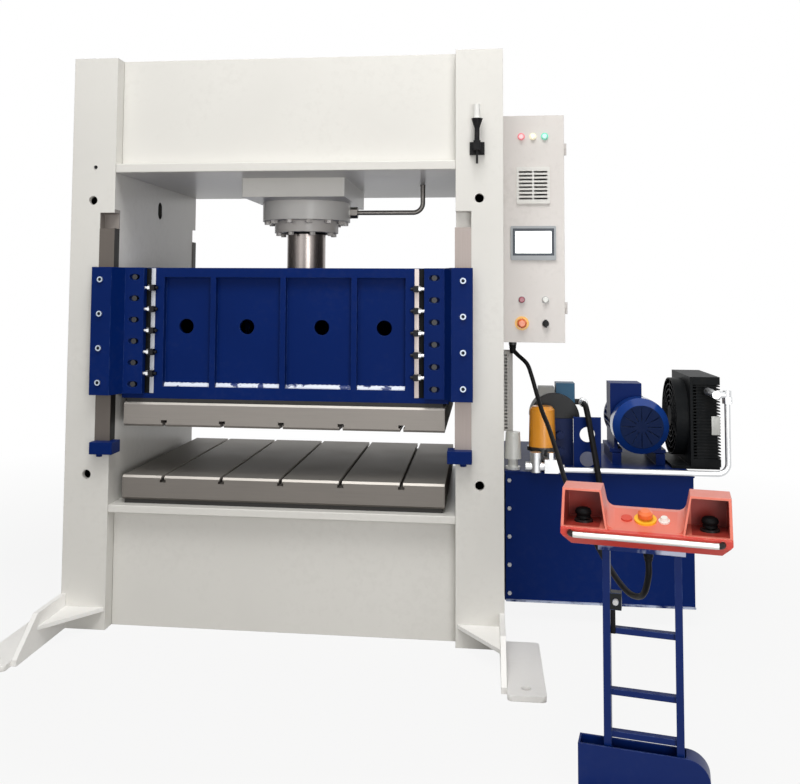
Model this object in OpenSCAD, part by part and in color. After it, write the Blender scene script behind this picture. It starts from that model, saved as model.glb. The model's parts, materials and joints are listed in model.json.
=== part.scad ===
// Heated hydraulic press with a two column frame, a guided slide, two heated platens,
// a hydraulic power unit, a control cabinet and a two hand console on its own stand.
// The origin is on the floor under the ram. +X points right, +Y to the back, +Z up.

/* [Frame] */
// Clear width between the columns
opening_w = 1440; // [1380:10:1600]
// Width of a column's front face
column_w = 192; // [170:2:230]
// Depth of the columns from front to back
column_d = 1100; // [1060:10:1200]
// Height of the frame above the floor
frame_h = 2390; // [2350:10:2500]
// Plate thickness of the columns
column_wall = 25; // [18:1:32]
// Height of the crown
crown_h = 494; // [460:2:520]
// Thickness of the crown's bottom flange
crown_flange_t = 38; // [30:1:45]
// Height of the bed
bed_h = 508; // [480:2:540]
// Thickness of the bed's top flange
bed_flange_t = 32; // [25:1:40]
// How far the crown's and the bed's face plates stand behind the columns
plate_inset = 66; // [50:1:80]
// Thickness of the face plates
plate_t = 40; // [30:1:50]
// Diameter of the holes in the columns' faces
face_hole_d = 37; // [25:1:45]
// Height of the lower face hole
face_hole_low = 630; // [600:2:660]
// Height of the upper face hole
face_hole_high = 1778; // [1765:2:1800]
// Width of the hose slot in a column's inner face
hose_slot_w = 55; // [40:1:70]
// Height of the hose slot
hose_slot_h = 82; // [75:1:100]
// Height of the middle of the hose slot
hose_slot_z = 1782; // [1770:2:1800]

/* [Anchor feet] */
// Reach of the foot rib in front of the column
rib_reach = 400; // [340:5:460]
// Length of the rib's level top
rib_flat = 240; // [180:5:300]
// Height of the rib
rib_h = 140; // [110:2:170]
// Height of the rib's nose
rib_nose_h = 22; // [22:1:40]
// Thickness of the rib
rib_t = 20; // [14:1:28]
// Width of the anchor plate
anchor_w = 134; // [110:2:160]
// Length of the anchor plate
anchor_l = 497; // [480:1:540]
// How far the anchor plate runs back beside the column
anchor_back = 42; // [20:1:60]
// Thickness of the anchor plate
anchor_t = 20; // [14:1:22]
// Diameter of the anchor hole
anchor_hole_d = 34; // [24:1:42]
// Distance of the anchor hole from the front end
anchor_hole_end = 65; // [50:1:90]
// Height of the horizontal gusset
gusset_z = 75; // [60:1:95]
// Thickness of the gusset
gusset_t = 15; // [10:1:20]

/* [Guides] */
// Width of a guide rail
rail_w = 63; // [55:1:75]
// Depth of a guide rail in the column
rail_d = 50; // [40:1:60]
// How far a rail stands proud of the column
rail_proud = 3; // [2:0.5:5]
// Height of the rails' lower ends
rail_z = 771; // [755:1:785]
// Length of a guide rail
rail_l = 888; // [880:2:920]
// Free height of the column's notch above a rail
notch_free = 66; // [40:1:75]
// Height of a stop block
stop_h = 50; // [40:1:60]
// How far a stop block stands in front of the column
stop_out = 52; // [40:1:60]
// How far a stop block stands inside the opening
stop_in = 32; // [22:1:40]

/* [Slide] */
// Gap between the slide and a column
slide_gap = 30; // [25:1:45]
// Depth of the slide
slide_d = 1000; // [960:10:1010]
// Height of the slide
slide_h = 550; // [540:2:560]
// Thickness of the slide's base plate
slide_base_t = 50; // [40:1:60]
// Thickness of the slide's top plate
slide_top_t = 40; // [30:1:50]
// Thickness of the slide's ribs
slide_rib_t = 24; // [18:1:30]
// Distance between the slide's ribs
slide_rib_pitch = 300; // [280:5:320]
// How far the face panels stand behind the ribs
panel_inset = 30; // [20:1:40]
// Thickness of the face panels
panel_t = 20; // [14:1:26]
// Width of the posts that carry the guide brackets
post_w = 177; // [170:1:185]
// Diameter of the round holes in the panels
slide_hole_d = 64; // [50:1:75]
// Distance of the outer panel holes from the middle
slide_hole_out = 423; // [410:1:435]
// Distance of the inner panel holes from the middle
slide_hole_in = 160; // [140:1:180]

/* [Guide brackets] */
// Height of a guide bracket
gib_h = 530; // [520:2:538]
// Thickness of the bracket's outer flange
gib_flange_t = 40; // [32:1:46]
// Thickness of the bracket's slotted flange
gib_foot_t = 30; // [24:1:36]
// Thickness of the bearing strips
liner_t = 12; // [8:1:15]
// Gap between a bearing strip and its rail
guide_gap = 0.3; // [0.3:0.1:0.8]
// Width of the slotted flange on the slide
gib_foot_w = 98; // [90:1:110]
// Length of a slot in the bracket
slot_l = 45; // [38:1:52]
// Width of a slot in the bracket
slot_w = 24; // [20:1:28]
// Distance between the slots
slot_pitch = 90; // [84:1:94]
// Distance between the outer screws
gib_screw_pitch = 142; // [130:1:155]
// Diameter of the outer screws
gib_screw_d = 16; // [12:1:18]

/* [Platens] */
// How far the platens stand inside the slide's sides
platen_side = 15; // [10:1:25]
// Depth of both platens
platen_d = 1020; // [1000:10:1040]
// Thickness of both platens
platen_t = 100; // [90:1:110]
// Bevel on the platens' edges
platen_bevel = 9; // [4:1:12]
// Distance between the T slots
t_pitch = 250; // [220:5:260]
// Width of a T slot's mouth
t_mouth_w = 14; // [12:1:18]
// Width of a T slot's foot
t_foot_w = 26; // [22:1:30]
// Depth of a T slot's mouth
t_mouth_h = 15; // [12:1:18]
// Depth of a T slot's foot
t_foot_h = 12; // [9:1:15]
// Thickness of the insulation boards
insulation_t = 16; // [12:1:20]
// Free height between the platens as shown
daylight = 204; // [195:1:210]
// Diameter of the cartridge heaters
heater_d = 20; // [16:1:24]
// Distance between the cartridge heaters
heater_pitch = 125; // [110:1:130]

/* [Cylinder] */
// Width of the cylinder pad under the crown
pad_w = 460; // [440:2:480]
// Depth of the cylinder pad
pad_d = 650; // [600:5:700]
// Thickness of the cylinder pad
pad_t = 84; // [75:1:90]
// Outside diameter of the barrel
barrel_d = 320; // [300:2:330]
// Diameter of the bore
bore_d = 250; // [240:1:260]
// Length of the barrel above the pad's underside
barrel_l = 520; // [500:2:530]
// Thickness of the barrel's end cap
barrel_cap_t = 40; // [30:1:50]
// Diameter of the cylinder flange
cyl_flange_d = 412; // [400:2:420]
// Height of the cylinder flange
cyl_flange_h = 87; // [80:1:92]
// Diameter of the rod gland
gland_d = 300; // [290:1:310]
// Height of the rod gland below the flange
gland_h = 53; // [45:1:55]
// Depth of the gland's spigot
spigot_h = 35; // [25:1:45]
// Diameter of the spigot
spigot_d = 220; // [210:1:230]
// Diameter of the rod
rod_d = 180; // [170:1:190]
// Height of the piston
piston_h = 90; // [70:1:110]
// Height of the piston above the spigot as shown
piston_lift = 200; // [195:1:215]
// Diameter of the flange's bolt circle
flange_pcd = 362; // [356:1:364]
// Diameter of the gland's bolt circle
gland_pcd = 262; // [256:1:266]
// Diameter of the pressure pipe
pipe_d = 22; // [18:1:26]
// Distance of the pipe's rise from the ram
pipe_rise_x = 550; // [500:5:600]
// Bend radius of the pipes
bend_r = 45; // [40:1:60]

/* [Power unit] */
// Gap between the right column and the tank
tank_gap = 13; // [8:1:25]
// Width of the tank
tank_w = 787; // [775:1:810]
// Depth of the tank
tank_d = 820; // [800:5:860]
// Height of the tank
tank_h = 540; // [520:2:560]
// Height of the tank's legs
tank_leg_h = 80; // [60:1:100]
// Front of the tank measured from the ram
tank_front = 200; // [180:2:230]
// Wall of the tank
tank_wall = 6; // [4:1:8]
// Thickness of the tank's lid
lid_t = 8; // [6:1:10]
// Height of the motor's axis above the lid
motor_axis_h = 180; // [170:1:190]
// Place of the motor's axis from the tank's left side
motor_x = 600; // [580:1:610]
// Place of the motor's front from the tank's front
motor_y = 140; // [120:1:160]
// Diameter of the motor's frame over its fins
motor_d = 232; // [220:1:240]
// Length of the motor's frame
motor_l = 300; // [280:1:310]
// Diameter of the fan cowl
cowl_d = 246; // [242:1:255]
// Diameter of the flat front of the fan cowl
cowl_front_d = 186; // [170:1:195]
// Length of the fan cowl
cowl_l = 100; // [90:1:110]
// Sheet thickness of the fan cowl
cowl_t = 3; // [2:0.5:4]
// Diameter of the motor's shaft
shaft_d = 38; // [32:1:42]
// Place of the filter from the tank's left side
filter_x = 163; // [150:1:175]
// Place of the filter from the tank's front
filter_y = 100; // [90:1:110]
// Diameter of the filter's bowl
filter_d = 118; // [105:1:125]
// Height of the filter's bowl
filter_h = 175; // [160:1:190]
// Height of the filter's head
filter_head_h = 94; // [80:1:105]
// Place of the valve block from the tank's left side
valve_x = 245; // [240:1:250]
// Place of the valve block from the tank's front
valve_y = 250; // [240:1:265]
// Height of the valve block
valve_h = 205; // [195:1:215]
// Place of the bulkhead plate from the tank's left side
bulkhead_x = 358; // [350:1:370]
// Place of the bulkhead plate from the tank's front
bulkhead_y = 90; // [85:1:100]
// Width of the bulkhead plate
bulkhead_w = 118; // [110:1:125]
// Height of the bulkhead plate
bulkhead_h = 225; // [215:1:235]
// Diameter of the holes in the bulkhead plate
bulkhead_hole_d = 66; // [55:1:72]
// Width of the oil cooler's core
cooler_w = 400; // [380:2:420]
// Height of the oil cooler's core
cooler_h = 390; // [375:1:400]
// Thickness of the oil cooler's core
cooler_t = 115; // [95:1:120]
// Length of the cooler's fan shroud
shroud_l = 65; // [60:1:75]
// Diameter of the cooler's fan opening
cooler_fan_d = 340; // [320:1:350]
// Distance of the cooler's core from the tank's right side
cooler_gap = 33; // [25:1:45]
// Place of the cooler's front from the tank's front
cooler_y = 140; // [130:1:160]
// Diameter of the return pipe
return_d = 24; // [20:1:26]

/* [Control cabinet] */
// Width of the control cabinet
cab_w = 265; // [255:1:290]
// Depth of the control cabinet
cab_d = 300; // [260:5:340]
// Height of the control cabinet
cab_h = 980; // [960:5:1000]
// Height of the cabinet's underside
cab_z = 1185; // [1170:5:1200]
// Front of the cabinet measured from the ram
cab_front = 250; // [230:5:270]
// Sheet thickness of the cabinet
cab_wall = 3; // [2:0.5:4]
// Depth of the door
door_t = 20; // [16:1:25]
// Gap round the door
door_gap = 0.5; // [0.5:0.1:1]
// Diameter of the hinge barrels
hinge_d = 12; // [10:1:14]
// Diameter of the hinge pins
hinge_pin_d = 6; // [5:0.5:7]
// Width of the operator panel
hmi_w = 192; // [180:1:200]
// Height of the operator panel
hmi_h = 147; // [140:1:155]
// Width of the screen
screen_w = 155; // [145:1:160]
// Height of the screen
screen_h = 96; // [90:1:105]
// Width of the filter grille
grille_w = 142; // [130:1:150]
// Height of the filter grille
grille_h = 160; // [150:1:170]
// Diameter of the signal lamps
lamp_d = 30; // [24:1:34]
// Distance of the controls from the door's middle
control_pitch = 50; // [45:1:54]
// Diameter of the button stems
stem_d = 18; // [14:1:19]
// Running gap round stems and shafts
run_gap = 0.05; // [0.02:0.01:0.08]
// Travel of the push buttons
travel = 4; // [3:0.5:5]
// Travel of the emergency stops
stop_travel = 6; // [4:0.5:6]

/* [Console] */
// Place of the console to the right of the ram
console_x = 1278; // [1266:2:1292]
// Place of the console in front of the ram
console_y = 1620; // [1600:5:1640]
// Turn of the console towards the press
console_turn = 11.3; // [8:0.1:14]
// Half width of the console
console_half = 224; // [215:1:235]
// Height of the console's underside
console_z = 702; // [690:1:715]
// Height of the hoods above the underside
hood_h = 143; // [135:1:150]
// Height of the deck's back edge above the underside
deck_h = 82; // [78:1:86]
// Slope of the deck
deck_tilt = 18; // [14:1:22]
// Half width of the deck
deck_half = 92; // [88:1:98]
// Depth of the hood's roof
hood_d = 100; // [90:1:105]
// Wall of the console
console_wall = 12; // [9:1:14]
// Diameter of the palm buttons
palm_d = 40; // [36:1:44]
// Diameter of the bumper bar
bumper_d = 16; // [12:1:18]
// Height of the stand's base
base_h = 163; // [150:1:175]
// Reach of the stand's base to the left
base_left = 184; // [170:1:195]
// Reach of the stand's base to the right
base_right = 160; // [150:1:180]
// Distance of the stand's posts from their middle
post_x = 95; // [90:1:105]
// Thickness of the stand's posts
post_t = 20; // [16:1:24]
// Diameter of the control cable
cable_d = 18; // [14:1:20]
// Diameter of the hydraulic hose
hose_d = 26; // [22:1:28]

/* [Hidden] */
$fn = 64;
eps = 0.5;

frame_white = [0.86, 0.85, 0.81];
press_blue = [0.05, 0.11, 0.42];
steel = [0.66, 0.65, 0.63];
dark_steel = [0.28, 0.28, 0.29];
board_dark = [0.13, 0.12, 0.11];
black = [0.07, 0.07, 0.08];
chrome = [0.80, 0.81, 0.83];
cabinet_grey = [0.80, 0.79, 0.75];
console_red = [0.86, 0.22, 0.17];
signal_red = [0.85, 0.12, 0.08];
signal_yellow = [0.98, 0.70, 0.10];
bronze = [0.70, 0.54, 0.30];
deep_blue = [0.04, 0.08, 0.28];
teal = [0.05, 0.28, 0.45];
filter_orange = [0.98, 0.60, 0.12];
lamp_white = [0.93, 0.93, 0.90];
signal_green = [0.10, 0.65, 0.30];

// Levels and planes of the press
half_open = opening_w / 2;
slide_w = opening_w - 2 * slide_gap;
platen_w = slide_w - 2 * platen_side;
column_out = half_open + column_w;
front_y = -column_d / 2;
column_mid = half_open + column_w / 2;
crown_z = frame_h - crown_h;
pad_z = crown_z - pad_t;
flange_z = pad_z - cyl_flange_h;
gland_z = flange_z - gland_h;
box_y = column_d / 2 - plate_inset;
lower_platen_z = bed_h + insulation_t;
lower_face_z = lower_platen_z + platen_t;
upper_face_z = lower_face_z + daylight;
upper_board_z = upper_face_z + platen_t;
slide_z = upper_board_z + insulation_t;
slide_top = slide_z + slide_h;
slide_front = -slide_d / 2;
gib_z = slide_top - gib_h;
gib_mid = gib_z + gib_h / 2;
bore_l = platen_d - 60;

// Guide bracket in plan, at the right front corner
rail_face_y = front_y - rail_proud;
rail_side_x = half_open - rail_proud;
gib_back_y = rail_face_y - guide_gap - liner_t;
gib_front_y = gib_back_y - gib_flange_t;
gib_side_x = rail_side_x - guide_gap - liner_t;
gib_over = 7;
gib_out_x = half_open + rail_w + gib_over;
gib_in_x = slide_w / 2 - gib_foot_w;
gib_step_x = gib_side_x - gib_flange_t * 0.75;
gib_foot_y = slide_front - gib_foot_t;
gib_screw_x = half_open + rail_w / 2;
slot_x = (gib_in_x + gib_step_x) / 2;
slot_shoulder = 5;
slot_bolt_d = slot_w - 2 * slot_shoulder;
slot_head_h = gib_foot_t / 2 - 1;

pipe_z = pad_z - cyl_flange_h / 2;
port_boss_d = 56;
port_face_x = cyl_flange_d / 2 + 4;

// Levels and planes of the power unit
tank_x = column_out + tank_gap;
tank_y = -tank_front;
lid_z = tank_leg_h + tank_h;
lid_top = lid_z + lid_t;
axis_x = tank_x + motor_x;
axis_y = tank_y + motor_y;
axis_z = lid_top + motor_axis_h;
core_x = tank_x + tank_w + cooler_gap;
core_y = tank_y + cooler_y;
core_up = 14;
core_z = lid_top + core_up;
core_mid_y = core_y + cooler_w / 2;
core_mid_z = core_z + cooler_h / 2;
motor_back_y = axis_y + cowl_l + motor_l;
cooler_port_down = 60;
cooler_port_z = core_z + cooler_h - cooler_port_down;
cooler_port_l = 22;
guard_hub_l = 30;
fan_pin_d = 16;

// Planes of the cabinet
cab_x = column_out;
cab_right = cab_x + cab_w;
cab_mid = cab_x + cab_w / 2;
cab_top = cab_z + cab_h;
door_y = -cab_front - door_gap - door_t;
hinge_x = cab_right + hinge_d / 2;
knuckle_h = 25;
lamp_z = cab_top - cab_h * 0.094;
grille_z = cab_top - cab_h * 0.311;
hmi_z = cab_z + cab_h * 0.434;
button_z = cab_z + cab_h * 0.186;
stop_z = cab_z + cab_h * 0.083;
bezel_h = 6;
screen_up = 4;
screen_deep = 4;
screen_t = 3;
barrel_len = 30;
panel_hole_d = stem_d + 4;

// Planes of the console, in its own frame with local -y towards the operator
console_back = 85;
deck_back = 55;
deck_front = -50;
nose_y = -70;
hood_slope = 26;
bottom_half = console_half - 28;
deck_z = console_z + deck_h;
deck_front_z = deck_z - (deck_back - deck_front) * tan(deck_tilt);
deck_mid_y = (deck_back + deck_front) / 2;
deck_mid_z = (deck_z + deck_front_z) / 2;
hood_z = console_z + hood_h;
recess_in = deck_half + hood_slope + 4;
recess_out = console_half - 8;
recess_z = deck_front_z;
palm_x = (recess_in + recess_out) / 2;
palm_y = 12;
gland_l = 15;
gland_w = cable_d + 16;
entry_x = 6;
entry_y = 30;

// Routes of the control cable and the hydraulic hose, each held at both ends
cab_gland = [cab_x + 46, -cab_front + 70, cab_z - gland_l];
console_gland = [console_x + entry_x * cos(console_turn) + entry_y * sin(console_turn),
                 -console_y - entry_x * sin(console_turn) + entry_y * cos(console_turn),
                 console_z - gland_l];
cable_from_cab = [[0, 0, 0], [0, 0, -10], [0, 0, -20], [22, -12, -44], [60, -40, -80], [78, -80, -130],
                  [96, -140, -200], [112, -220, -258], [130, -310, -305], [142, -400, -346],
                  [151, -490, -382], [159, -590, -418], [167, -680, -450]];
cable_to_console = [[-136, 592, -26], [-108, 462, -78], [-82, 342, -122], [-58, 232, -154],
                    [-36, 142, -168], [-18, 72, -158], [-7, 26, -130], [0, 0, -76], [0, 0, -38], [0, 0, 0]];
cable_route = concat([for (o = cable_from_cab) cab_gland + o],
                     [for (o = cable_to_console) console_gland + o]);
hose_start = [tank_x + valve_x + 106, tank_y + valve_y - 50, lid_top + 277];
hose_end = [tank_x + 395, tank_y - 68, lid_z - 100];
hose_from_valve = [[0, 0, 0], [0, -30, 0], [0, -60, 0], [2, -96, -6], [4, -127, -24], [8, -152, -55],
                   [14, -178, -105], [20, -204, -154]];
hose_to_tank = [[-18, 38, 183], [-12, 16, 135], [-9, 9, 110], [-6, 4, 85], [-3, 1, 60], [0, 0, 40],
                [0, 0, 20], [0, 0, 0]];
hose_route = concat([for (o = hose_from_valve) hose_start + o], [for (o = hose_to_tank) hose_end + o]);

// Shared shapes
module block(x0, x1, y0, y1, z0, z1) {
  translate([x0, y0, z0]) cube([x1 - x0, y1 - y0, z1 - z0]);
}
module both_sides() {
  children();
  mirror([1, 0, 0]) children();
}
module front_and_back() {
  children();
  mirror([0, 1, 0]) children();
}
module corners() {
  both_sides() front_and_back() children();
}
module ring_of(count, circle_d) {
  for (i = [0 : count - 1])
    rotate([0, 0, 360 * (i + 0.5) / count]) translate([circle_d / 2, 0, 0]) children();
}
module round_rect(w, d, r) {
  square([w - 2 * r, d], center = true);
  square([w, d - 2 * r], center = true);
  for (sx = [-1, 1], sy = [-1, 1]) translate([sx * (w / 2 - r), sy * (d / 2 - r)]) circle(r);
}
module obround(l, w) {
  square([l - w, w], center = true);
  for (s = [-1, 1]) translate([s * (l - w) / 2, 0]) circle(d = w);
}
// Straight stretch of round bar along Y from its front end
module bar_y(d, l) {
  rotate([-90, 0, 0]) cylinder(d = d, h = l);
}
module bar_x(d, l) {
  rotate([0, 90, 0]) cylinder(d = d, h = l);
}
// Quarter bend from +X towards +Z, starting at its own origin
module bend_up(d, r) {
  translate([0, 0, r]) rotate([90, 0, 0]) rotate([0, 0, -90])
    rotate_extrude(angle = 90) translate([r, 0]) circle(d = d);
}
module hex_head(across, h) {
  cylinder(d = across / cos(30), h = h, $fn = 6);
}

// Round tube swept along a route
function unit(v) = v / norm(v);
function tangent(p, i) = unit(p[min(i + 1, len(p) - 1)] - p[max(i - 1, 0)]);
function side_of(t) = unit(cross(t, [1, 0, 0]));
function ring(p, i, r, n) = let (t = tangent(p, i), a = side_of(t), b = cross(t, a))
  [for (k = [0 : n - 1]) p[i] + r * (cos(360 * k / n) * a + sin(360 * k / n) * b)];
function knot(p, i) = p[max(0, min(len(p) - 1, i))];
function curve_point(p, i, u) = let (a = knot(p, i - 1), b = p[i], c = p[i + 1], d = knot(p, i + 2))
  0.5 * (2 * b + (c - a) * u + (2 * a - 5 * b + 4 * c - d) * u * u + (3 * b - a - 3 * c + d) * u * u * u);
function smooth(p, steps) =
  [for (i = [0 : len(p) - 2], k = [0 : steps - 1]) curve_point(p, i, k / steps), p[len(p) - 1]];
module tube_along(route, d, steps, n) {
  p = smooth(route, steps);
  m = len(p);
  points = [for (i = [0 : m - 1]) each ring(p, i, d / 2, n)];
  sides = [for (i = [0 : m - 2], k = [0 : n - 1])
    [i * n + k, i * n + (k + 1) % n, (i + 1) * n + (k + 1) % n, (i + 1) * n + k]];
  ends = [[for (k = [0 : n - 1]) n - 1 - k], [for (k = [0 : n - 1]) (m - 1) * n + k]];
  polyhedron(points, concat(sides, ends), convexity = 6);
}

// Frame
module column_box() {
  difference() {
    block(half_open, column_out, front_y, -front_y, 0, frame_h);
    difference() {
      block(half_open + column_wall, column_out - column_wall, front_y + column_wall,
            -front_y - column_wall, column_wall, frame_h - column_wall);
      front_and_back() block(half_open, half_open + rail_w + column_wall, front_y,
            front_y + rail_d + column_wall, rail_z - column_wall, rail_z + rail_l + notch_free + column_wall);
    }
    front_and_back() block(half_open - eps, half_open + rail_w, front_y - eps, front_y + rail_d,
            rail_z, rail_z + rail_l + notch_free);
    front_and_back() for (z = [face_hole_low, face_hole_high])
      translate([column_mid, front_y - eps, z]) bar_y(face_hole_d, column_wall + 2 * eps);
    translate([half_open - eps, 0, hose_slot_z]) rotate([90, 0, 90])
      linear_extrude(column_wall + 2 * eps) rotate(90) obround(hose_slot_h, hose_slot_w);
  }
}
module right_column() {
  color(frame_white) column_box();
}
module left_column() {
  color(frame_white) mirror([1, 0, 0]) column_box();
}
module crown() {
  color(frame_white) difference() {
    union() {
      block(-half_open, half_open, front_y, -front_y, crown_z, crown_z + crown_flange_t);
      block(-half_open, half_open, -box_y, box_y, crown_z, frame_h);
      block(-pad_w / 2, pad_w / 2, -pad_d / 2, pad_d / 2, pad_z, crown_z);
    }
    block(-half_open + plate_t, half_open - plate_t, -box_y + plate_t, box_y - plate_t,
          crown_z + crown_flange_t, frame_h - plate_t);
    translate([0, 0, pad_z - eps]) cylinder(d = barrel_d + 2, h = pad_t + crown_flange_t + 2 * eps);
    translate([pipe_rise_x, 0, crown_z - eps]) cylinder(d = pipe_d + 4, h = crown_flange_t + 2 * eps);
  }
}
module bed() {
  drain_x = half_open / 2;
  drain_d = 100;
  color(frame_white) difference() {
    union() {
      block(-half_open, half_open, front_y, -front_y, bed_h - bed_flange_t, bed_h);
      block(-half_open, half_open, -box_y, box_y, 0, bed_h);
    }
    block(-half_open + plate_t, half_open - plate_t, -box_y + plate_t, box_y - plate_t,
          column_wall, bed_h - bed_flange_t);
    translate([drain_x, 0, -eps]) cylinder(d = drain_d, h = column_wall + 2 * eps);
  }
}
module anchor_feet() {
  plate_mid = front_y + anchor_back - anchor_l / 2;
  hole_y = front_y + anchor_back - anchor_l + anchor_hole_end;
  corner_r = 18;
  gusset_in = 6;
  color(frame_white) corners() difference() {
    union() {
      translate([column_out, front_y, 0]) rotate([90, 0, -90]) linear_extrude(rib_t)
        polygon([[0, 0], [rib_reach, 0], [rib_reach, rib_nose_h], [rib_flat, rib_h], [0, rib_h]]);
      translate([column_out + anchor_w / 2, plate_mid, 0]) linear_extrude(anchor_t)
        round_rect(anchor_w, anchor_l, corner_r);
      block(column_out, column_out + corner_r, plate_mid - anchor_l / 2 + corner_r,
            plate_mid + anchor_l / 2 - corner_r, 0, anchor_t);
      translate([0, 0, gusset_z]) linear_extrude(gusset_t)
        polygon([[half_open + gusset_in, front_y], [column_out - rib_t, front_y],
                 [column_out - rib_t, front_y - rib_flat]]);
    }
    translate([column_out + anchor_w / 2, hole_y, -eps]) cylinder(d = anchor_hole_d, h = anchor_t + 2 * eps);
  }
}

// Guides
module guide_rails() {
  color(steel) corners() block(rail_side_x, half_open + rail_w, rail_face_y, front_y + rail_d,
        rail_z, rail_z + rail_l);
}
module guide_stops() {
  stop_in_x = half_open - stop_in;
  stop_over = 3;
  stop_short = 10;
  stop_out_x = half_open + rail_w + stop_over;
  stop_leg_y = front_y + rail_d - stop_short;
  nut_across = 24;
  nut_h = 12;
  color(press_blue) corners() {
    translate([0, 0, rail_z - stop_h]) linear_extrude(stop_h)
      polygon([[stop_in_x, front_y - stop_out], [stop_out_x, front_y - stop_out], [stop_out_x, front_y],
               [half_open, front_y], [half_open, stop_leg_y], [stop_in_x, stop_leg_y]]);
    translate([half_open + rail_w / 2, front_y - stop_out / 2, rail_z - stop_h - nut_h])
      hex_head(nut_across, nut_h);
  }
}

// Cylinder
module cylinder_barrel() {
  port_d = 14;
  color(frame_white) difference() {
    union() {
      translate([0, 0, pipe_z]) bar_x(port_boss_d, port_face_x);
      translate([0, 0, flange_z]) cylinder(d = cyl_flange_d, h = cyl_flange_h);
      translate([0, 0, flange_z]) cylinder(d = barrel_d, h = cyl_flange_h + barrel_l);
    }
    translate([0, 0, pipe_z]) bar_x(port_d, port_face_x + eps);
    translate([0, 0, flange_z - eps]) cylinder(d = spigot_d, h = spigot_h + 2 * eps);
    translate([0, 0, flange_z + spigot_h])
      cylinder(d = bore_d, h = cyl_flange_h + barrel_l - spigot_h - barrel_cap_t);
  }
}
module rod_gland() {
  color(steel) difference() {
    union() {
      translate([0, 0, gland_z]) cylinder(d = gland_d, h = gland_h);
      translate([0, 0, flange_z]) cylinder(d = spigot_d, h = spigot_h);
    }
    translate([0, 0, gland_z - eps]) cylinder(d = rod_d + 2 * run_gap, h = gland_h + spigot_h + 2 * eps);
  }
}
module cylinder_bolts() {
  flange_bolts = 12;
  gland_bolts = 8;
  big_across = 30;
  small_across = 24;
  head_h = 15;
  color(dark_steel) {
    translate([0, 0, flange_z - head_h]) ring_of(flange_bolts, flange_pcd) hex_head(big_across, head_h);
    translate([0, 0, gland_z - head_h]) ring_of(gland_bolts, gland_pcd) hex_head(small_across, head_h);
  }
}
module press_ram() {
  piston_z = flange_z + spigot_h + piston_lift;
  color(chrome) {
    translate([0, 0, slide_top]) cylinder(d = rod_d, h = piston_z - slide_top);
    translate([0, 0, piston_z]) cylinder(d = bore_d - 2 * run_gap, h = piston_h);
  }
}
module cylinder_pipe() {
  nut_across = 46;
  nut_l = 34;
  pipe_end = 60;
  color(steel) {
    translate([port_face_x, 0, pipe_z]) rotate([0, 90, 0]) hex_head(nut_across, nut_l);
    translate([port_face_x, 0, pipe_z]) bar_x(pipe_d, pipe_rise_x - bend_r - port_face_x);
    translate([pipe_rise_x - bend_r, 0, pipe_z]) bend_up(pipe_d, bend_r);
    translate([pipe_rise_x, 0, pipe_z + bend_r])
      cylinder(d = pipe_d, h = crown_z + crown_flange_t + pipe_end - pipe_z - bend_r);
    translate([pipe_rise_x, 0, crown_z + crown_flange_t + pipe_end]) hex_head(nut_across, nut_l);
  }
}

// Heated platens
module platen_body() {
  half_d = platen_d / 2;
  bevel = platen_bevel;
  difference() {
    translate([-platen_w / 2, 0, 0]) rotate([90, 0, 90]) linear_extrude(platen_w)
      polygon([[-half_d, bevel], [-half_d + bevel, 0], [half_d - bevel, 0], [half_d, bevel],
               [half_d, platen_t - bevel], [half_d - bevel, platen_t], [-half_d + bevel, platen_t],
               [-half_d, platen_t - bevel]]);
    for (i = [-2 : 2]) translate([i * t_pitch, 0, 0]) {
      block(-t_mouth_w / 2, t_mouth_w / 2, -half_d - eps, half_d + eps,
            platen_t - t_mouth_h - eps, platen_t + eps);
      block(-t_foot_w / 2, t_foot_w / 2, -half_d - eps, half_d + eps,
            platen_t - t_mouth_h - t_foot_h, platen_t - t_mouth_h);
    }
    heater_places() bar_y(heater_d + 2 * run_gap, bore_l + eps);
  }
}
// Cartridge heaters enter from the back face, below the T slots
module heater_places() {
  heater_z = (platen_t - t_mouth_h - t_foot_h) / 2;
  for (i = [-4 : 4]) translate([i * heater_pitch, platen_d / 2 - bore_l, heater_z]) children();
}
module heater_set() {
  cap_d = heater_d + 8;
  cap_l = 24;
  heater_places() {
    bar_y(heater_d, bore_l);
    translate([0, bore_l, 0]) bar_y(cap_d, cap_l);
  }
}
module face_down(z) {
  translate([0, 0, z]) mirror([0, 0, 1]) children();
}
module lower_platen() {
  color(steel) translate([0, 0, lower_platen_z]) platen_body();
}
module upper_platen() {
  color(steel) face_down(upper_board_z) platen_body();
}
module lower_heaters() {
  color(dark_steel) translate([0, 0, lower_platen_z]) heater_set();
}
module upper_heaters() {
  color(dark_steel) face_down(upper_board_z) heater_set();
}
module insulation_board(z) {
  margin = 8;
  color(board_dark) block(-platen_w / 2 + margin, platen_w / 2 - margin, -platen_d / 2 + margin,
        platen_d / 2 - margin, z, z + insulation_t);
}
module lower_insulation() {
  insulation_board(bed_h);
}
module upper_insulation() {
  insulation_board(upper_board_z);
}

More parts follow.
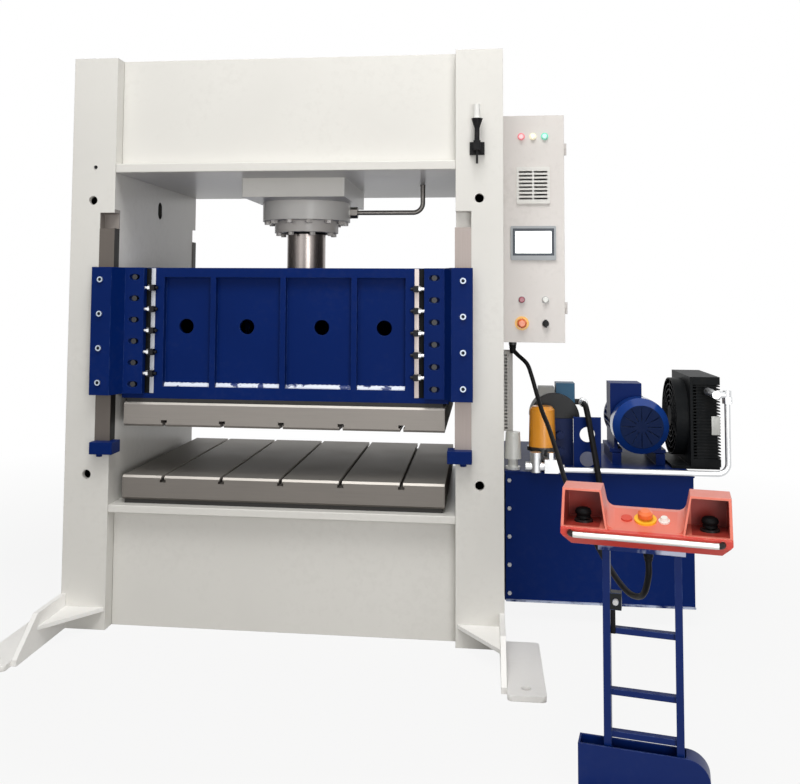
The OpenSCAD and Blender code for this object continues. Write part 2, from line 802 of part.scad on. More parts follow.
// Slide
module slide_frame() {
  half_w = slide_w / 2;
  panel_y = slide_front + panel_inset;
  access_d = 150;
  color(press_blue) difference() {
    union() {
      block(-half_w, half_w, slide_front, -slide_front, slide_z, slide_z + slide_base_t);
      block(-half_w, half_w, slide_front, -slide_front, slide_top - slide_top_t, slide_top);
      for (i = [-1 : 1]) block(i * slide_rib_pitch - slide_rib_t / 2, i * slide_rib_pitch + slide_rib_t / 2,
            slide_front, -slide_front, slide_z, slide_top);
      front_and_back() block(-half_w, half_w, panel_y, panel_y + panel_t, slide_z, slide_top);
      corners() block(half_w - post_w, half_w, slide_front, panel_y + panel_t, slide_z, slide_top);
      both_sides() block(half_w - panel_t, half_w, slide_front, -slide_front, slide_z, slide_top);
    }
    corners() for (x = [slide_hole_in, slide_hole_out])
      translate([x, panel_y - eps, slide_z + slide_h * 0.55]) bar_y(slide_hole_d, panel_t + 2 * eps);
    translate([-half_w + panel_t + eps, 0, slide_z + slide_h / 2])
      bar_x(access_d, slide_w - 2 * panel_t - 2 * eps);
    corners() for (z = slot_levels()) translate([slot_x, slide_front - eps, z])
      bar_y(slot_bolt_d + 2 * run_gap, slot_bolt_d + eps);
  }
}
function slot_levels() = [for (i = [-2.5 : 2.5]) gib_mid + i * slot_pitch];
function screw_levels() = [for (i = [-1.5 : 1.5]) gib_mid + i * gib_screw_pitch];
function adjuster_levels() = [for (i = [-2 : 2]) gib_mid + i * slot_pitch];

module gib_brackets() {
  slot_narrow = slot_bolt_d + 1;
  color(press_blue) corners() difference() {
    translate([0, 0, gib_z]) linear_extrude(gib_h)
      polygon([[gib_out_x, gib_front_y], [gib_out_x, gib_back_y], [gib_side_x, gib_back_y],
               [gib_side_x, slide_front], [gib_in_x, slide_front], [gib_in_x, gib_foot_y],
               [gib_step_x, gib_foot_y], [gib_side_x, gib_front_y]]);
    for (z = slot_levels()) translate([slot_x, gib_foot_y - eps, z]) rotate([-90, 0, 0]) {
      linear_extrude(slot_head_h + eps) obround(slot_l, slot_w);
      linear_extrude(gib_foot_t + 2 * eps) obround(slot_l - slot_w + slot_narrow, slot_narrow);
    }
    for (z = screw_levels()) translate([gib_screw_x, gib_front_y - eps, z])
      bar_y(gib_screw_d + 1, gib_flange_t + 2 * eps);
  }
}
module gib_liners() {
  color(bronze) corners() {
    block(half_open, half_open + rail_w, gib_back_y, gib_back_y + liner_t, gib_z, gib_z + gib_h);
    block(gib_side_x, gib_side_x + liner_t, front_y + rail_proud, slide_front, gib_z, gib_z + gib_h);
  }
}
// Socket screws in the outer flange and bolts in the slots
module gib_screws() {
  head_d = gib_screw_d * 1.5;
  head_h = gib_screw_d * 0.6;
  head_sunk = 3;
  head_gap = 1;
  color(chrome) corners() {
    for (z = screw_levels()) translate([gib_screw_x, gib_front_y, z]) difference() {
      union() {
        translate([0, -head_h, 0]) bar_y(head_d, head_h);
        bar_y(gib_screw_d, gib_flange_t);
      }
      translate([0, -head_h - eps, 0]) rotate([-90, 0, 0]) hex_head(head_d * 0.55, head_h * 0.7);
    }
    for (z = slot_levels()) translate([slot_x, gib_foot_y + slot_head_h, z]) {
      translate([0, head_sunk - slot_head_h, 0]) bar_y(slot_w - 2 * head_gap, slot_head_h - head_sunk);
      bar_y(slot_bolt_d, gib_foot_t - slot_head_h + slot_bolt_d);
    }
  }
}
// Lugs on the slide with the screws that set the brackets sideways
module gib_adjusters() {
  lug_t = 20;
  lug_h = 26;
  lug_gap = 24;
  lug_x = gib_in_x - lug_gap - lug_t;
  screw_d = 14;
  screw_back = 12;
  screw_y = slide_front - gib_foot_t / 2;
  nut_across = 22;
  nut_t = 11;
  color(dark_steel) corners() for (z = adjuster_levels()) {
    block(lug_x, lug_x + lug_t, gib_foot_y, slide_front, z - lug_h / 2, z + lug_h / 2);
    translate([lug_x - screw_back, screw_y, z]) bar_x(screw_d, gib_in_x - lug_x + screw_back);
    translate([lug_x + lug_t, screw_y, z]) rotate([0, 90, 0]) hex_head(nut_across, nut_t);
  }
}

// Power unit
module oil_tank() {
  x1 = tank_x + tank_w;
  y1 = tank_y + tank_d;
  leg = 60;
  front_in = 255;
  back_in = 130;
  ledge = 14;
  bolt_d = 16;
  bolt_h = 7;
  bolt_rows = 5;
  bolt_step = (tank_h - 4 * bolt_d) / (bolt_rows - 1);
  elbow_d = hose_d + 8;
  elbow_h = 30;
  color(press_blue) {
    difference() {
      union() {
        block(tank_x, x1, tank_y, y1, tank_leg_h, lid_z);
        block(tank_x, x1, tank_y - ledge, tank_y, tank_leg_h, tank_leg_h + tank_wall);
      }
      block(tank_x + tank_wall, x1 - tank_wall, tank_y + tank_wall, y1 - tank_wall,
            tank_leg_h + tank_wall, lid_z + eps);
    }
    for (x = [tank_x, x1 - leg], y = [tank_y + front_in, y1 - leg - back_in])
      block(x, x + leg, y, y + leg, 0, tank_leg_h);
    translate(hose_end - [0, 0, elbow_h]) bar_y(elbow_d, tank_y - hose_end[1]);
    translate(hose_end - [0, 0, elbow_h + elbow_d / 2]) cylinder(d = elbow_d, h = elbow_h + elbow_d / 2);
    for (i = [0 : bolt_rows - 1])
      translate([tank_x + bolt_d, tank_y - bolt_h, tank_leg_h + 2 * bolt_d + i * bolt_step])
        rotate([-90, 0, 0]) hex_head(bolt_d, bolt_h);
  }
}
module tank_lid() {
  lip = 4;
  riser_w = 40;
  riser_h = motor_axis_h - motor_d / 2 - 16;
  foot_x = motor_d / 2 - 20;
  bulkhead_t = 8;
  plate_x = tank_x + bulkhead_x;
  plate_y = tank_y + bulkhead_y;
  hole_gap = 20;
  color(press_blue) difference() {
    union() {
      block(tank_x - lip, tank_x + tank_w + lip, tank_y - lip, tank_y + tank_d + lip, lid_z, lid_top);
      for (s = [-1, 1]) block(axis_x + s * foot_x - riser_w / 2, axis_x + s * foot_x + riser_w / 2,
            axis_y + cowl_l, motor_back_y, lid_top, lid_top + riser_h);
      block(plate_x - bulkhead_w / 2, plate_x + bulkhead_w / 2, plate_y, plate_y + bulkhead_t,
            lid_top, lid_top + bulkhead_h);
    }
    for (i = [0, 1]) translate([plate_x, plate_y - eps, lid_top + hole_gap / 2 + bulkhead_hole_d / 2
          + i * (bulkhead_hole_d + 2 * hole_gap)]) bar_y(bulkhead_hole_d, bulkhead_t + 2 * eps);
  }
}
module motor_frame() {
  fins = 30;
  fin_h = 16;
  fin_t = 5;
  body_d = motor_d - 2 * fin_h;
  shield_t = 22;
  foot_w = 56;
  foot_h = 16;
  foot_x = motor_d / 2 - 20;
  box_w = 140;
  box_l = 130;
  box_h = 64;
  box_x = axis_x - 50;
  body_y = axis_y + cowl_l;
  color(press_blue) difference() {
    union() {
      translate([axis_x, body_y + shield_t, axis_z]) rotate([-90, 0, 0])
        linear_extrude(motor_l - 2 * shield_t) {
          circle(d = body_d);
          for (i = [0 : fins - 1]) rotate(360 * (i + 0.5) / fins)
            translate([0, -fin_t / 2]) square([motor_d / 2, fin_t]);
        }
      translate([axis_x, body_y, axis_z]) bar_y(cowl_d - 2 * cowl_t, shield_t);
      translate([axis_x, body_y + motor_l - shield_t, axis_z]) bar_y(motor_d, shield_t);
      for (s = [-1, 1]) {
        block(axis_x + s * foot_x - foot_w / 2, axis_x + s * foot_x + foot_w / 2, body_y + shield_t,
              body_y + motor_l - shield_t, axis_z - motor_d / 2 - foot_h, axis_z - motor_d / 2);
        block(axis_x + s * foot_x - fin_h / 2, axis_x + s * foot_x + fin_h / 2, body_y + shield_t,
              body_y + motor_l - shield_t, axis_z - motor_d / 2, axis_z);
      }
      block(box_x - box_w / 2, box_x + box_w / 2, body_y + shield_t, body_y + shield_t + box_l,
            axis_z + fin_h, axis_z + motor_d / 2 + box_h);
    }
    translate([axis_x, body_y - eps, axis_z]) bar_y(shaft_d + 2 * run_gap, motor_l + 2 * eps);
  }
}
module motor_cowl() {
  slots = 12;
  slot_in = 26;
  slot_t = 2.5;
  nose_l = 34;
  lap = 14;
  r1 = cowl_front_d / 2;
  r2 = cowl_d / 2;
  color(press_blue) translate([axis_x, axis_y, axis_z]) rotate([-90, 0, 0]) difference() {
    rotate_extrude() polygon([[0, 0], [r1, 0], [r2, nose_l], [r2, cowl_l + lap], [r2 - cowl_t, cowl_l + lap],
                              [r2 - cowl_t, nose_l + cowl_t], [r1 - cowl_t, cowl_t], [0, cowl_t]]);
    for (i = [0 : slots - 1]) rotate([0, 0, 360 * i / slots]) translate([slot_in, -slot_t / 2, -eps])
      cube([r1 - slot_in - 2 * cowl_t, slot_t, cowl_t + 2 * eps]);
  }
}
module motor_rotor() {
  fan_d = cowl_d - 56;
  fan_y = cowl_l * 0.55;
  blades = 7;
  hub_d = shaft_d + 34;
  disc_t = 4;
  blade_h = 26;
  nose = 12;
  coupling_l = 70;
  color(dark_steel) translate([axis_x, axis_y, axis_z]) rotate([-90, 0, 0]) {
    translate([0, 0, fan_y - nose]) cylinder(d = shaft_d, h = cowl_l - fan_y + nose + motor_l + coupling_l);
    translate([0, 0, fan_y]) cylinder(d = hub_d, h = blade_h + disc_t);
    translate([0, 0, fan_y + blade_h]) cylinder(d = fan_d, h = disc_t);
    for (i = [0 : blades - 1]) rotate([0, 0, 360 * (i + 0.5) / blades])
      translate([hub_d / 2 - disc_t, -disc_t / 2, fan_y + disc_t / 2])
        cube([(fan_d - hub_d) / 2, disc_t, blade_h]);
  }
}
module pump() {
  bell_l = 110;
  bell_d = motor_d - 30;
  bell_t = 12;
  flange_d = motor_d - 4;
  flange_t = 18;
  body_w = 130;
  body_l = 120;
  port_d = 40;
  bell_y = motor_back_y;
  body_y = bell_y + bell_l;
  color(dark_steel) difference() {
    union() {
      translate([axis_x, bell_y, axis_z]) bar_y(bell_d, bell_l);
      translate([axis_x, bell_y, axis_z]) bar_y(flange_d, flange_t);
      translate([axis_x, body_y, axis_z]) rotate([-90, 0, 0]) linear_extrude(body_l)
        round_rect(body_w, body_w * 1.2, body_w * 0.2);
      translate([axis_x - body_w / 2 - 16, body_y + body_l / 2, axis_z]) bar_x(port_d, body_w + 32);
    }
    translate([axis_x, bell_y - eps, axis_z]) bar_y(bell_d - 2 * bell_t, bell_l - bell_t);
  }
}
module return_filter() {
  head_d = filter_d + 14;
  ring_h = 17;
  ring_w = 15;
  neck_d = 44;
  neck_in = 6;
  taper = 8;
  dome_h = 14;
  translate([tank_x + filter_x, tank_y + filter_y, lid_top]) {
    color(black) {
      cylinder(d = head_d - 2 * ring_w, h = filter_head_h - ring_h);
      translate([0, 0, filter_head_h - ring_h]) cylinder(d = head_d, h = ring_h);
      translate([0, neck_in - head_d / 2, filter_head_h / 2 - ring_h / 2]) bar_y(neck_d, head_d / 2);
    }
    color(filter_orange) {
      translate([0, 0, filter_head_h]) cylinder(d1 = filter_d, d2 = filter_d - taper, h = filter_h - dome_h);
      translate([0, 0, filter_head_h + filter_h - dome_h])
        cylinder(d1 = filter_d - taper, d2 = filter_d - taper - 2 * dome_h, h = dome_h);
    }
  }
}
// Filler neck with its cap at the front corner of the lid
module filler_breather() {
  neck_d = 44;
  neck_h = 46;
  cap_d = 74;
  cap_h = 114;
  taper = 12;
  rim = 10;
  color(lamp_white) translate([tank_x + cap_d * 0.45, tank_y + cap_d * 0.7, lid_top]) {
    cylinder(d = neck_d + 2 * rim, h = taper);
    cylinder(d = neck_d, h = neck_h);
    translate([0, 0, neck_h]) cylinder(d1 = cap_d, d2 = cap_d - taper, h = cap_h);
  }
}
module valve_block() {
  w = 120;
  d = 150;
  h = valve_h;
  port_d = 34;
  port_l = 30;
  x0 = tank_x + valve_x - w / 2;
  y0 = tank_y + valve_y - d / 2;
  color(deep_blue) {
    block(x0, x0 + w, y0, y0 + d, lid_top, lid_top + h);
    for (z = [0.3, 0.65]) translate([x0 + w / 2, y0 - port_l, lid_top + h * z]) bar_y(port_d, port_l + 1);
  }
}
module solenoid_valve() {
  w = 220;
  d = 130;
  seat = 2;
  dome_left = 20;
  z0 = lid_top + valve_h;
  x = tank_x + valve_x;
  y0 = tank_y + valve_y - d / 2;
  top = z0 + seat + w / 2;
  box_in = 20;
  coil_w = 84;
  coil_x = x - 13;
  plug_w = 70;
  plug_x = x - 90;
  box_h = 44;
  fitting_d = hose_d + 8;
  fitting_l = 34;
  arm_t = 18;
  arm_h = 24;
  color(black) {
    difference() {
      translate([x - dome_left, y0, z0 + seat]) bar_y(w, d);
      block(x - w, x + w, y0 - eps, y0 + d + eps, z0 - w, z0);
    }
    translate(hose_start) bar_y(fitting_d, fitting_l);
    block(x, hose_start[0] + fitting_d / 2, hose_start[1] + fitting_l - arm_t, hose_start[1] + fitting_l,
          hose_start[2] - arm_h / 2, hose_start[2] + arm_h / 2);
  }
  y_in = y0 + box_in;
  y_out = y0 + d - box_in;
  color(teal) block(coil_x, coil_x + coil_w, y_in, y_out, top - box_h, top + box_h);
  color(steel) block(plug_x, plug_x + plug_w, y_in, y_out, top - box_h, top + box_h - box_in);
}

// Oil cooler
module cooler_core() {
  fins = 24;
  fin_t = 5;
  header_h = 34;
  x1 = core_x + cooler_t;
  z1 = core_z + cooler_h;
  port_d = 38;
  color(black) {
    block(core_x, x1, core_y, core_y + cooler_w, core_z, core_z + header_h);
    block(core_x, x1, core_y, core_y + cooler_w, z1 - header_h, z1);
    block(core_x + 14, x1 - 14, core_y + 4, core_y + cooler_w - 4, core_z, z1);
    for (i = [0 : fins - 1]) block(core_x, x1, core_y, core_y + cooler_w,
          core_z + header_h + (i + 0.5) * (cooler_h - 2 * header_h) / fins - fin_t / 2,
          core_z + header_h + (i + 0.5) * (cooler_h - 2 * header_h) / fins + fin_t / 2);
    translate([core_x + cooler_t / 2, core_y - cooler_port_l, cooler_port_z])
      bar_y(port_d, cooler_port_l + 1);
  }
}
module cooler_shroud() {
  t = 4;
  y1 = core_y + cooler_w;
  z1 = core_z + cooler_h;
  sheet = 12;
  wires = 5;
  wire_d = 5;
  foot_l = 90;
  foot_in = 20;
  hub_d = 90;
  wire_step = (cooler_fan_d + t - hub_d) / wires;
  spoke_l = cooler_fan_d - 2;
  guard_in = 2;
  color(black) {
    difference() {
      union() {
        block(core_x - sheet, core_x, core_y, y1, core_z, z1);
        translate([core_x - shroud_l, core_mid_y, core_mid_z]) bar_x(cooler_fan_d + 2 * t, shroud_l);
      }
      translate([core_x - shroud_l - eps, core_mid_y, core_mid_z]) bar_x(cooler_fan_d, shroud_l + 2 * eps);
    }
    block(core_x - foot_l, core_x + cooler_t, core_y + foot_in, y1 - foot_in, lid_top, core_z);
    translate([core_x - shroud_l + guard_in, core_mid_y, core_mid_z]) rotate([0, 90, 0]) difference() {
      union() {
        for (i = [1 : wires]) difference() {
          cylinder(d = hub_d + i * wire_step, h = wire_d);
          translate([0, 0, -eps]) cylinder(d = hub_d + i * wire_step - 2 * wire_d, h = wire_d + 2 * eps);
        }
        cylinder(d = hub_d, h = guard_hub_l - guard_in);
        for (a = [0, 60, 120]) rotate([0, 0, a]) translate([-spoke_l / 2, -wire_d / 2, 1])
          cube([spoke_l, wire_d, wire_d - 2]);
      }
      translate([0, 0, wire_d]) cylinder(d = fan_pin_d + 2 * run_gap, h = guard_hub_l);
    }
  }
}
module cooler_fan() {
  blades = 6;
  hub_d = 96;
  hub_l = 22;
  blade_l = cooler_fan_d / 2 - hub_d / 2 - 20;
  blade_t = 4;
  blade_w = 34;
  pitch_angle = 32;
  root = hub_d / 2 - 6;
  hub_x = core_x - shroud_l + guard_hub_l + guide_gap;
  color(dark_steel) translate([hub_x, core_mid_y, core_mid_z]) rotate([0, 90, 0]) {
    cylinder(d = hub_d, h = hub_l);
    translate([0, 0, -guard_hub_l / 2]) cylinder(d = fan_pin_d, h = guard_hub_l / 2 + 1);
    for (i = [0 : blades - 1]) rotate([0, 0, 360 * i / blades]) translate([root, 0, hub_l / 2])
      rotate([pitch_angle, 0, 0]) translate([0, -blade_w / 2, -blade_t / 2])
        cube([blade_l, blade_w, blade_t]);
  }
}
// Return line from the filter across the tank to the cooler
module return_pipe() {
  run_y = tank_y - return_d / 2 - 6;
  run_z = lid_top + return_d / 2 + 2;
  start_x = tank_x + filter_x + 60;
  port_x = core_x + cooler_t / 2;
  rise_x = port_x + 48;
  body_w = 58;
  body_out = 20;
  body_d = 34;
  nut = 36;
  nut_l = 26;
  tail_l = 44;
  elbow_d = 48;
  elbow_h = 84;
  color(chrome) {
    translate([start_x, run_y, run_z]) bar_x(return_d, rise_x - bend_r - start_x);
    translate([rise_x - bend_r, run_y, run_z]) bend_up(return_d, bend_r);
    translate([rise_x, run_y, run_z + bend_r]) cylinder(d = return_d, h = cooler_port_z - run_z - bend_r);
    translate([rise_x, run_y, cooler_port_z - nut]) hex_head(nut, nut_l);
    translate([rise_x, run_y, cooler_port_z - nut / 2]) cylinder(d = body_d, h = nut);
    translate([port_x, run_y, cooler_port_z]) bar_x(nut * 0.8, rise_x - port_x);
    translate([port_x, run_y - nut / 2, cooler_port_z])
      bar_y(nut * 0.9, core_y - cooler_port_l - run_y + nut / 2);
    block(start_x - body_w, start_x, run_y - body_out, run_y + body_w, lid_top, lid_top + body_w);
    translate([start_x, run_y, run_z]) rotate([0, 90, 0]) hex_head(nut, nut_l);
    translate([start_x - body_w - nut - tail_l, run_y + body_out / 2, run_z + body_out / 2])
      bar_x(nut, nut + 2 * tail_l);
    translate([start_x - body_w - nut, run_y + body_out / 2, lid_top]) cylinder(d = elbow_d, h = elbow_h);
    translate([start_x - body_w / 2, run_y + body_out / 2, lid_top + body_w]) hex_head(nut * 0.8, nut_l);
  }
}
module return_hose() {
  color(black) tube_along(hose_route, hose_d, 2, 10);
}

// Control cabinet
module control_cabinet() {
  y0 = -cab_front;
  y1 = y0 + cab_d;
  lip = 14;
  color(cabinet_grey) {
    difference() {
      block(cab_x, cab_right, y0, y1, cab_z, cab_top);
      block(cab_x + cab_wall, cab_right - cab_wall, y0 + cab_wall, y1 - cab_wall,
            cab_z + cab_wall, cab_top - cab_wall);
      block(cab_x + lip, cab_right - lip, y0 - eps, y0 + cab_wall + eps, cab_z + lip, cab_top - lip);
    }
    for (z = hinge_levels()) {
      translate([hinge_x, y0, z - knuckle_h]) cylinder(d = hinge_d, h = knuckle_h);
      translate([hinge_x, y0, z]) cylinder(d = hinge_pin_d, h = knuckle_h);
      block(cab_right, hinge_x, y0, y0 + hinge_d / 2, z - knuckle_h, z);
    }
  }
  color(black) translate(cab_gland) cylinder(d = gland_w, h = gland_l);
}
function hinge_levels() = [cab_z + cab_h * 0.15, cab_z + cab_h * 0.85];
// Mounting plate with rows of plain control devices
module cabinet_gear() {
  y1 = -cab_front + cab_d - cab_wall;
  gear_plate_t = 3;
  stand_off = 20;
  plate_front = y1 - stand_off - gear_plate_t;
  side = 16;
  end = 30;
  rows = 4;
  count = 5;
  row_step = 210;
  first_row = cab_z + 110;
  device_h = 90;
  device_d = 75;
  device_less = 8;
  fill = 0.86;
  margin = 10;
  pitch = (cab_w - 2 * side - 2 * margin) / count;
  post_dia = 10;
  color(steel) {
    block(cab_x + side, cab_right - side, plate_front, y1 - stand_off, cab_z + end, cab_top - end);
    for (x = [cab_x + 2 * side, cab_right - 2 * side], z = [cab_z + 2 * end, cab_top - 2 * end])
      translate([x, y1 - stand_off, z]) bar_y(post_dia, stand_off);
  }
  for (r = [0 : rows - 1], i = [0 : count - 1]) color((r % 2 == 0) ? black : lamp_white)
    translate([cab_x + side + margin + i * pitch, plate_front - device_d + r * device_less,
               first_row + r * row_step])
      cube([fill * pitch, device_d - r * device_less, device_h]);
}
// Slotted wiring duct on the column below the cabinet
module cable_duct() {
  w = 48;
  d = 60;
  wall = 3;
  top = cab_z - 45;
  bottom = lid_z + 165;
  y0 = -cab_front + 140;
  slots = 22;
  slot_t = 8;
  margin = 10;
  step = (top - bottom - 2 * margin) / slots;
  color(steel) difference() {
    block(column_out, column_out + w, y0, y0 + d, bottom, top);
    block(column_out + wall, column_out + w - wall, y0 + wall, y0 + d - wall, bottom - eps, top + eps);
    for (i = [0 : slots - 1]) translate([column_out + margin, y0 - eps, bottom + margin + i * step])
      cube([w / 2 - margin, wall + 2 * eps, slot_t]);
  }
}
// Signal lamp on a bracket at the front of the right column
module signal_lamp() {
  x = column_mid - 9;
  lamp_y = front_y - 42;
  lamp_down = 437;
  z0 = frame_h - lamp_down;
  bracket_w = 60;
  bracket_h = 52;
  bracket_t = 10;
  arm = 28;
  neck_d = 20;
  neck_h = 50;
  cone_d = 46;
  cone_h = 40;
  lens_d = 26;
  lens_h = 58;
  tail_d = 9;
  tail_h = 40;
  bolt_across = 16;
  bolt_h = 8;
  color(black) {
    block(x - bracket_w / 2, x + bracket_w / 2, front_y - bracket_t, front_y, z0, z0 + bracket_h);
    block(x - arm / 2, x + arm / 2, lamp_y - arm / 2, front_y, z0 + arm / 2, z0 + bracket_h);
    translate([x, lamp_y, z0 + bracket_h]) cylinder(d = neck_d, h = neck_h);
    translate([x, lamp_y, z0 + bracket_h + neck_h]) cylinder(d1 = neck_d, d2 = cone_d, h = cone_h);
    translate([x, lamp_y, z0 - tail_h]) cylinder(d = tail_d, h = tail_h + arm / 2);
  }
  color(steel) translate([x + bracket_w * 0.36, front_y - bracket_t - bolt_h, z0 + arm / 2])
    rotate([-90, 0, 0]) hex_head(bolt_across, bolt_h);
  color(lamp_white) translate([x, lamp_y, z0 + bracket_h + neck_h + cone_h]) cylinder(d = lens_d, h = lens_h);
}
module cabinet_door() {
  y0 = door_y;
  y1 = door_y + door_t;
  side = 4;
  sheet = 2;
  grille_rim = 12;
  hmi_rim = 10;
  color(cabinet_grey) {
    difference() {
      block(cab_x + side, cab_right, y0, y1, cab_z, cab_top);
      block(cab_x + side + sheet, cab_right - sheet, y0 + sheet, y1 + eps, cab_z + sheet, cab_top - sheet);
      on_door(0, grille_z) window(grille_w - 2 * grille_rim, grille_h - 2 * grille_rim, sheet);
      on_door(0, hmi_z) window(hmi_w - 2 * hmi_rim, hmi_h - 2 * hmi_rim, sheet);
      button_places() device_hole(sheet + eps);
      lamp_places() device_hole(sheet + eps);
    }
    for (z = hinge_levels()) difference() {
      union() {
        translate([hinge_x, -cab_front, z + guide_gap]) cylinder(d = hinge_d, h = knuckle_h);
        block(cab_right - sheet, hinge_x, -cab_front - hinge_d / 2, -cab_front - door_gap,
              z + guide_gap, z + guide_gap + knuckle_h);
      }
      translate([hinge_x, -cab_front, z - eps])
        cylinder(d = hinge_pin_d + 2 * run_gap, h = knuckle_h + 2 * eps);
    }
  }
}
module window(w, h, t) {
  translate([-w / 2, -h / 2, -t - eps]) cube([w, h, t + 2 * eps]);
}
module device_hole(depth) {
  translate([0, 0, -depth]) cylinder(d = panel_hole_d, h = depth + eps);
}
// Local z points out of the door, local y up
module on_door(x, z) {
  translate([cab_mid + x, door_y, z]) rotate([90, 0, 0]) children();
}
module button_places() {
  for (s = [-1, 1], z = [button_z, stop_z]) on_door(s * control_pitch, z) children();
}
module lamp_places() {
  for (s = [-1 : 1]) on_door(s * control_pitch, lamp_z) children();
}
module vent_grille() {
  louvres = 8;
  t = 9;
  mid = 8;
  rim = 10;
  end = 14;
  corner = 6;
  gap_h = 8;
  gap_w = grille_w / 2 - rim - mid / 2;
  step = (grille_h - 2 * end) / louvres;
  color(lamp_white) on_door(0, grille_z) difference() {
    linear_extrude(t) round_rect(grille_w, grille_h, corner);
    for (i = [0 : louvres - 1], s = [-1, 1])
      translate([s * (gap_w + mid) / 2 - gap_w / 2, end - grille_h / 2 + (i + 0.5) * step - gap_h / 2, -eps])
        cube([gap_w, gap_h, t + 2 * eps]);
  }
}
module hmi_bezel() {
  t = 10;
  body_l = 45;
  rim = 11;
  color(dark_steel) on_door(0, hmi_z) difference() {
    union() {
      linear_extrude(t) round_rect(hmi_w, hmi_h, 5);
      translate([0, 0, -body_l]) linear_extrude(body_l + 1)
        square([hmi_w - 2 * rim, hmi_h - 2 * rim], center = true);
    }
    translate([0, screen_up, screen_deep]) linear_extrude(t) square([screen_w, screen_h], center = true);
  }
}
module hmi_screen() {
  color(lamp_white) on_door(0, hmi_z) translate([0, screen_up, screen_deep]) linear_extrude(screen_t)
    square([screen_w - guide_gap, screen_h - guide_gap], center = true);
}
module indicator_lamps() {
  hues = [signal_red, lamp_white, signal_green];
  for (i = [0 : 2]) color(hues[i]) on_door((i - 1) * control_pitch, lamp_z) {
    cylinder(d = lamp_d, h = 5);
    translate([0, 0, 5]) cylinder(d1 = lamp_d - 6, d2 = lamp_d - 12, h = 11);
    translate([0, 0, -barrel_len]) cylinder(d = panel_hole_d, h = barrel_len);
  }
}
module bezel(od, h) {
  difference() {
    union() {
      cylinder(d = od, h = h);
      translate([0, 0, -barrel_len]) cylinder(d = panel_hole_d, h = barrel_len);
    }
    translate([0, 0, -barrel_len - eps]) cylinder(d = stem_d + 2 * run_gap, h = barrel_len + h + 2 * eps);
  }
}
module button_bezels() {
  color(steel) {
    for (s = [-1, 1]) on_door(s * control_pitch, button_z) bezel(lamp_d, bezel_h);
    on_door(control_pitch, stop_z) bezel(lamp_d, bezel_h);
  }
  color(signal_yellow) on_door(-control_pitch, stop_z) bezel(lamp_d * 2, bezel_h);
}
// Cap over a bezel, free to sink by its travel, on a stem through the bezel
module push_cap(cap_d, cap_h, stroke) {
  cap_z = bezel_h + stroke + guide_gap;
  translate([0, 0, cap_z]) cylinder(d = cap_d, h = cap_h * 0.6);
  translate([0, 0, cap_z + cap_h * 0.6]) cylinder(d1 = cap_d, d2 = cap_d - cap_h * 0.8, h = cap_h * 0.4);
  translate([0, 0, -barrel_len + stroke + 2]) cylinder(d = stem_d, h = barrel_len + cap_z - stroke - 1);
}
module red_button() {
  color(signal_red) on_door(-control_pitch, button_z) push_cap(lamp_d - 4, 8, travel);
}
module white_button() {
  color(lamp_white) on_door(control_pitch, button_z) push_cap(lamp_d - 4, 8, travel);
}
module estop_button() {
  color(signal_red) on_door(-control_pitch, stop_z) push_cap(palm_d, 18, stop_travel);
}
module selector_knob() {
  knob_h = 10;
  grip_w = 10;
  grip_h = 12;
  grip_l = lamp_d + 4;
  color(black) on_door(control_pitch, stop_z) {
    translate([0, 0, bezel_h + guide_gap]) cylinder(d = lamp_d - 2, h = knob_h);
    translate([-grip_w / 2, -grip_l / 2, bezel_h + guide_gap + knob_h]) cube([grip_w, grip_l, grip_h]);
    translate([0, 0, -barrel_len + 2]) cylinder(d = stem_d, h = barrel_len + bezel_h);
  }
}

// Two hand console
module at_console() {
  translate([console_x, -console_y, 0]) rotate([0, 0, -console_turn]) children();
}
// Local z points out of the sloping deck
module on_deck(x) {
  translate([x, deck_mid_y, deck_mid_z]) rotate([deck_tilt, 0, 0]) children();
}
module on_recess(s) {
  translate([s * palm_x, palm_y, recess_z]) children();
}
// Section along x of a shape given in y and z
module across(half) {
  translate([-half, 0, 0]) rotate([90, 0, 90]) linear_extrude(2 * half) children();
}
module console_housing() {
  nose_top = deck_front_z - 4;
  nose_low = console_z + 22;
  cheek_z = deck_front_z - 30;
  cheek_y = nose_y + 6;
  belly = 30;
  floor_t = 8;
  shell_t = 6;
  color(console_red) at_console() difference() {
    union() {
      across(console_half) polygon([[console_back, console_z], [console_back, deck_z], [deck_back, deck_z],
        [deck_front, deck_front_z], [nose_y, nose_top], [nose_y, nose_low], [deck_front, console_z]]);
      intersection() {
        across(console_half) polygon([[console_back, cheek_z], [console_back, hood_z],
          [console_back - hood_d, hood_z], [cheek_y, deck_front_z], [cheek_y, cheek_z]]);
        translate([0, console_back, 0]) rotate([90, 0, 0]) linear_extrude(console_back - nose_y) both_sides()
          polygon([[deck_half, cheek_z], [deck_half + hood_slope, hood_z], [console_half, hood_z],
                   [console_half, cheek_z]]);
      }
      translate([entry_x, entry_y, console_z - gland_l]) cylinder(d = gland_w, h = gland_l);
    }
    translate([0, console_back + eps, 0]) rotate([90, 0, 0]) linear_extrude(console_back - nose_y + 2 * eps)
      both_sides() polygon([[bottom_half, console_z - eps], [console_half + eps, console_z - eps],
        [console_half + eps, console_z + belly]]);
    translate([0, console_back - console_wall, 0]) rotate([90, 0, 0])
      linear_extrude(console_back - console_wall - nose_y + eps) both_sides()
        polygon([[deck_half + 2 * shell_t, recess_z], [recess_in, hood_z - shell_t],
                 [recess_out, hood_z - shell_t], [recess_out, recess_z]]);
    block(-bottom_half + console_wall, bottom_half - console_wall, deck_front, console_back - console_wall,
          console_z + floor_t, recess_z - floor_t);
    for (s = [-1, 1]) on_recess(s) device_hole(barrel_len);
    for (x = [-control_pitch, 0, control_pitch]) on_deck(x) device_hole(barrel_len);
  }
}
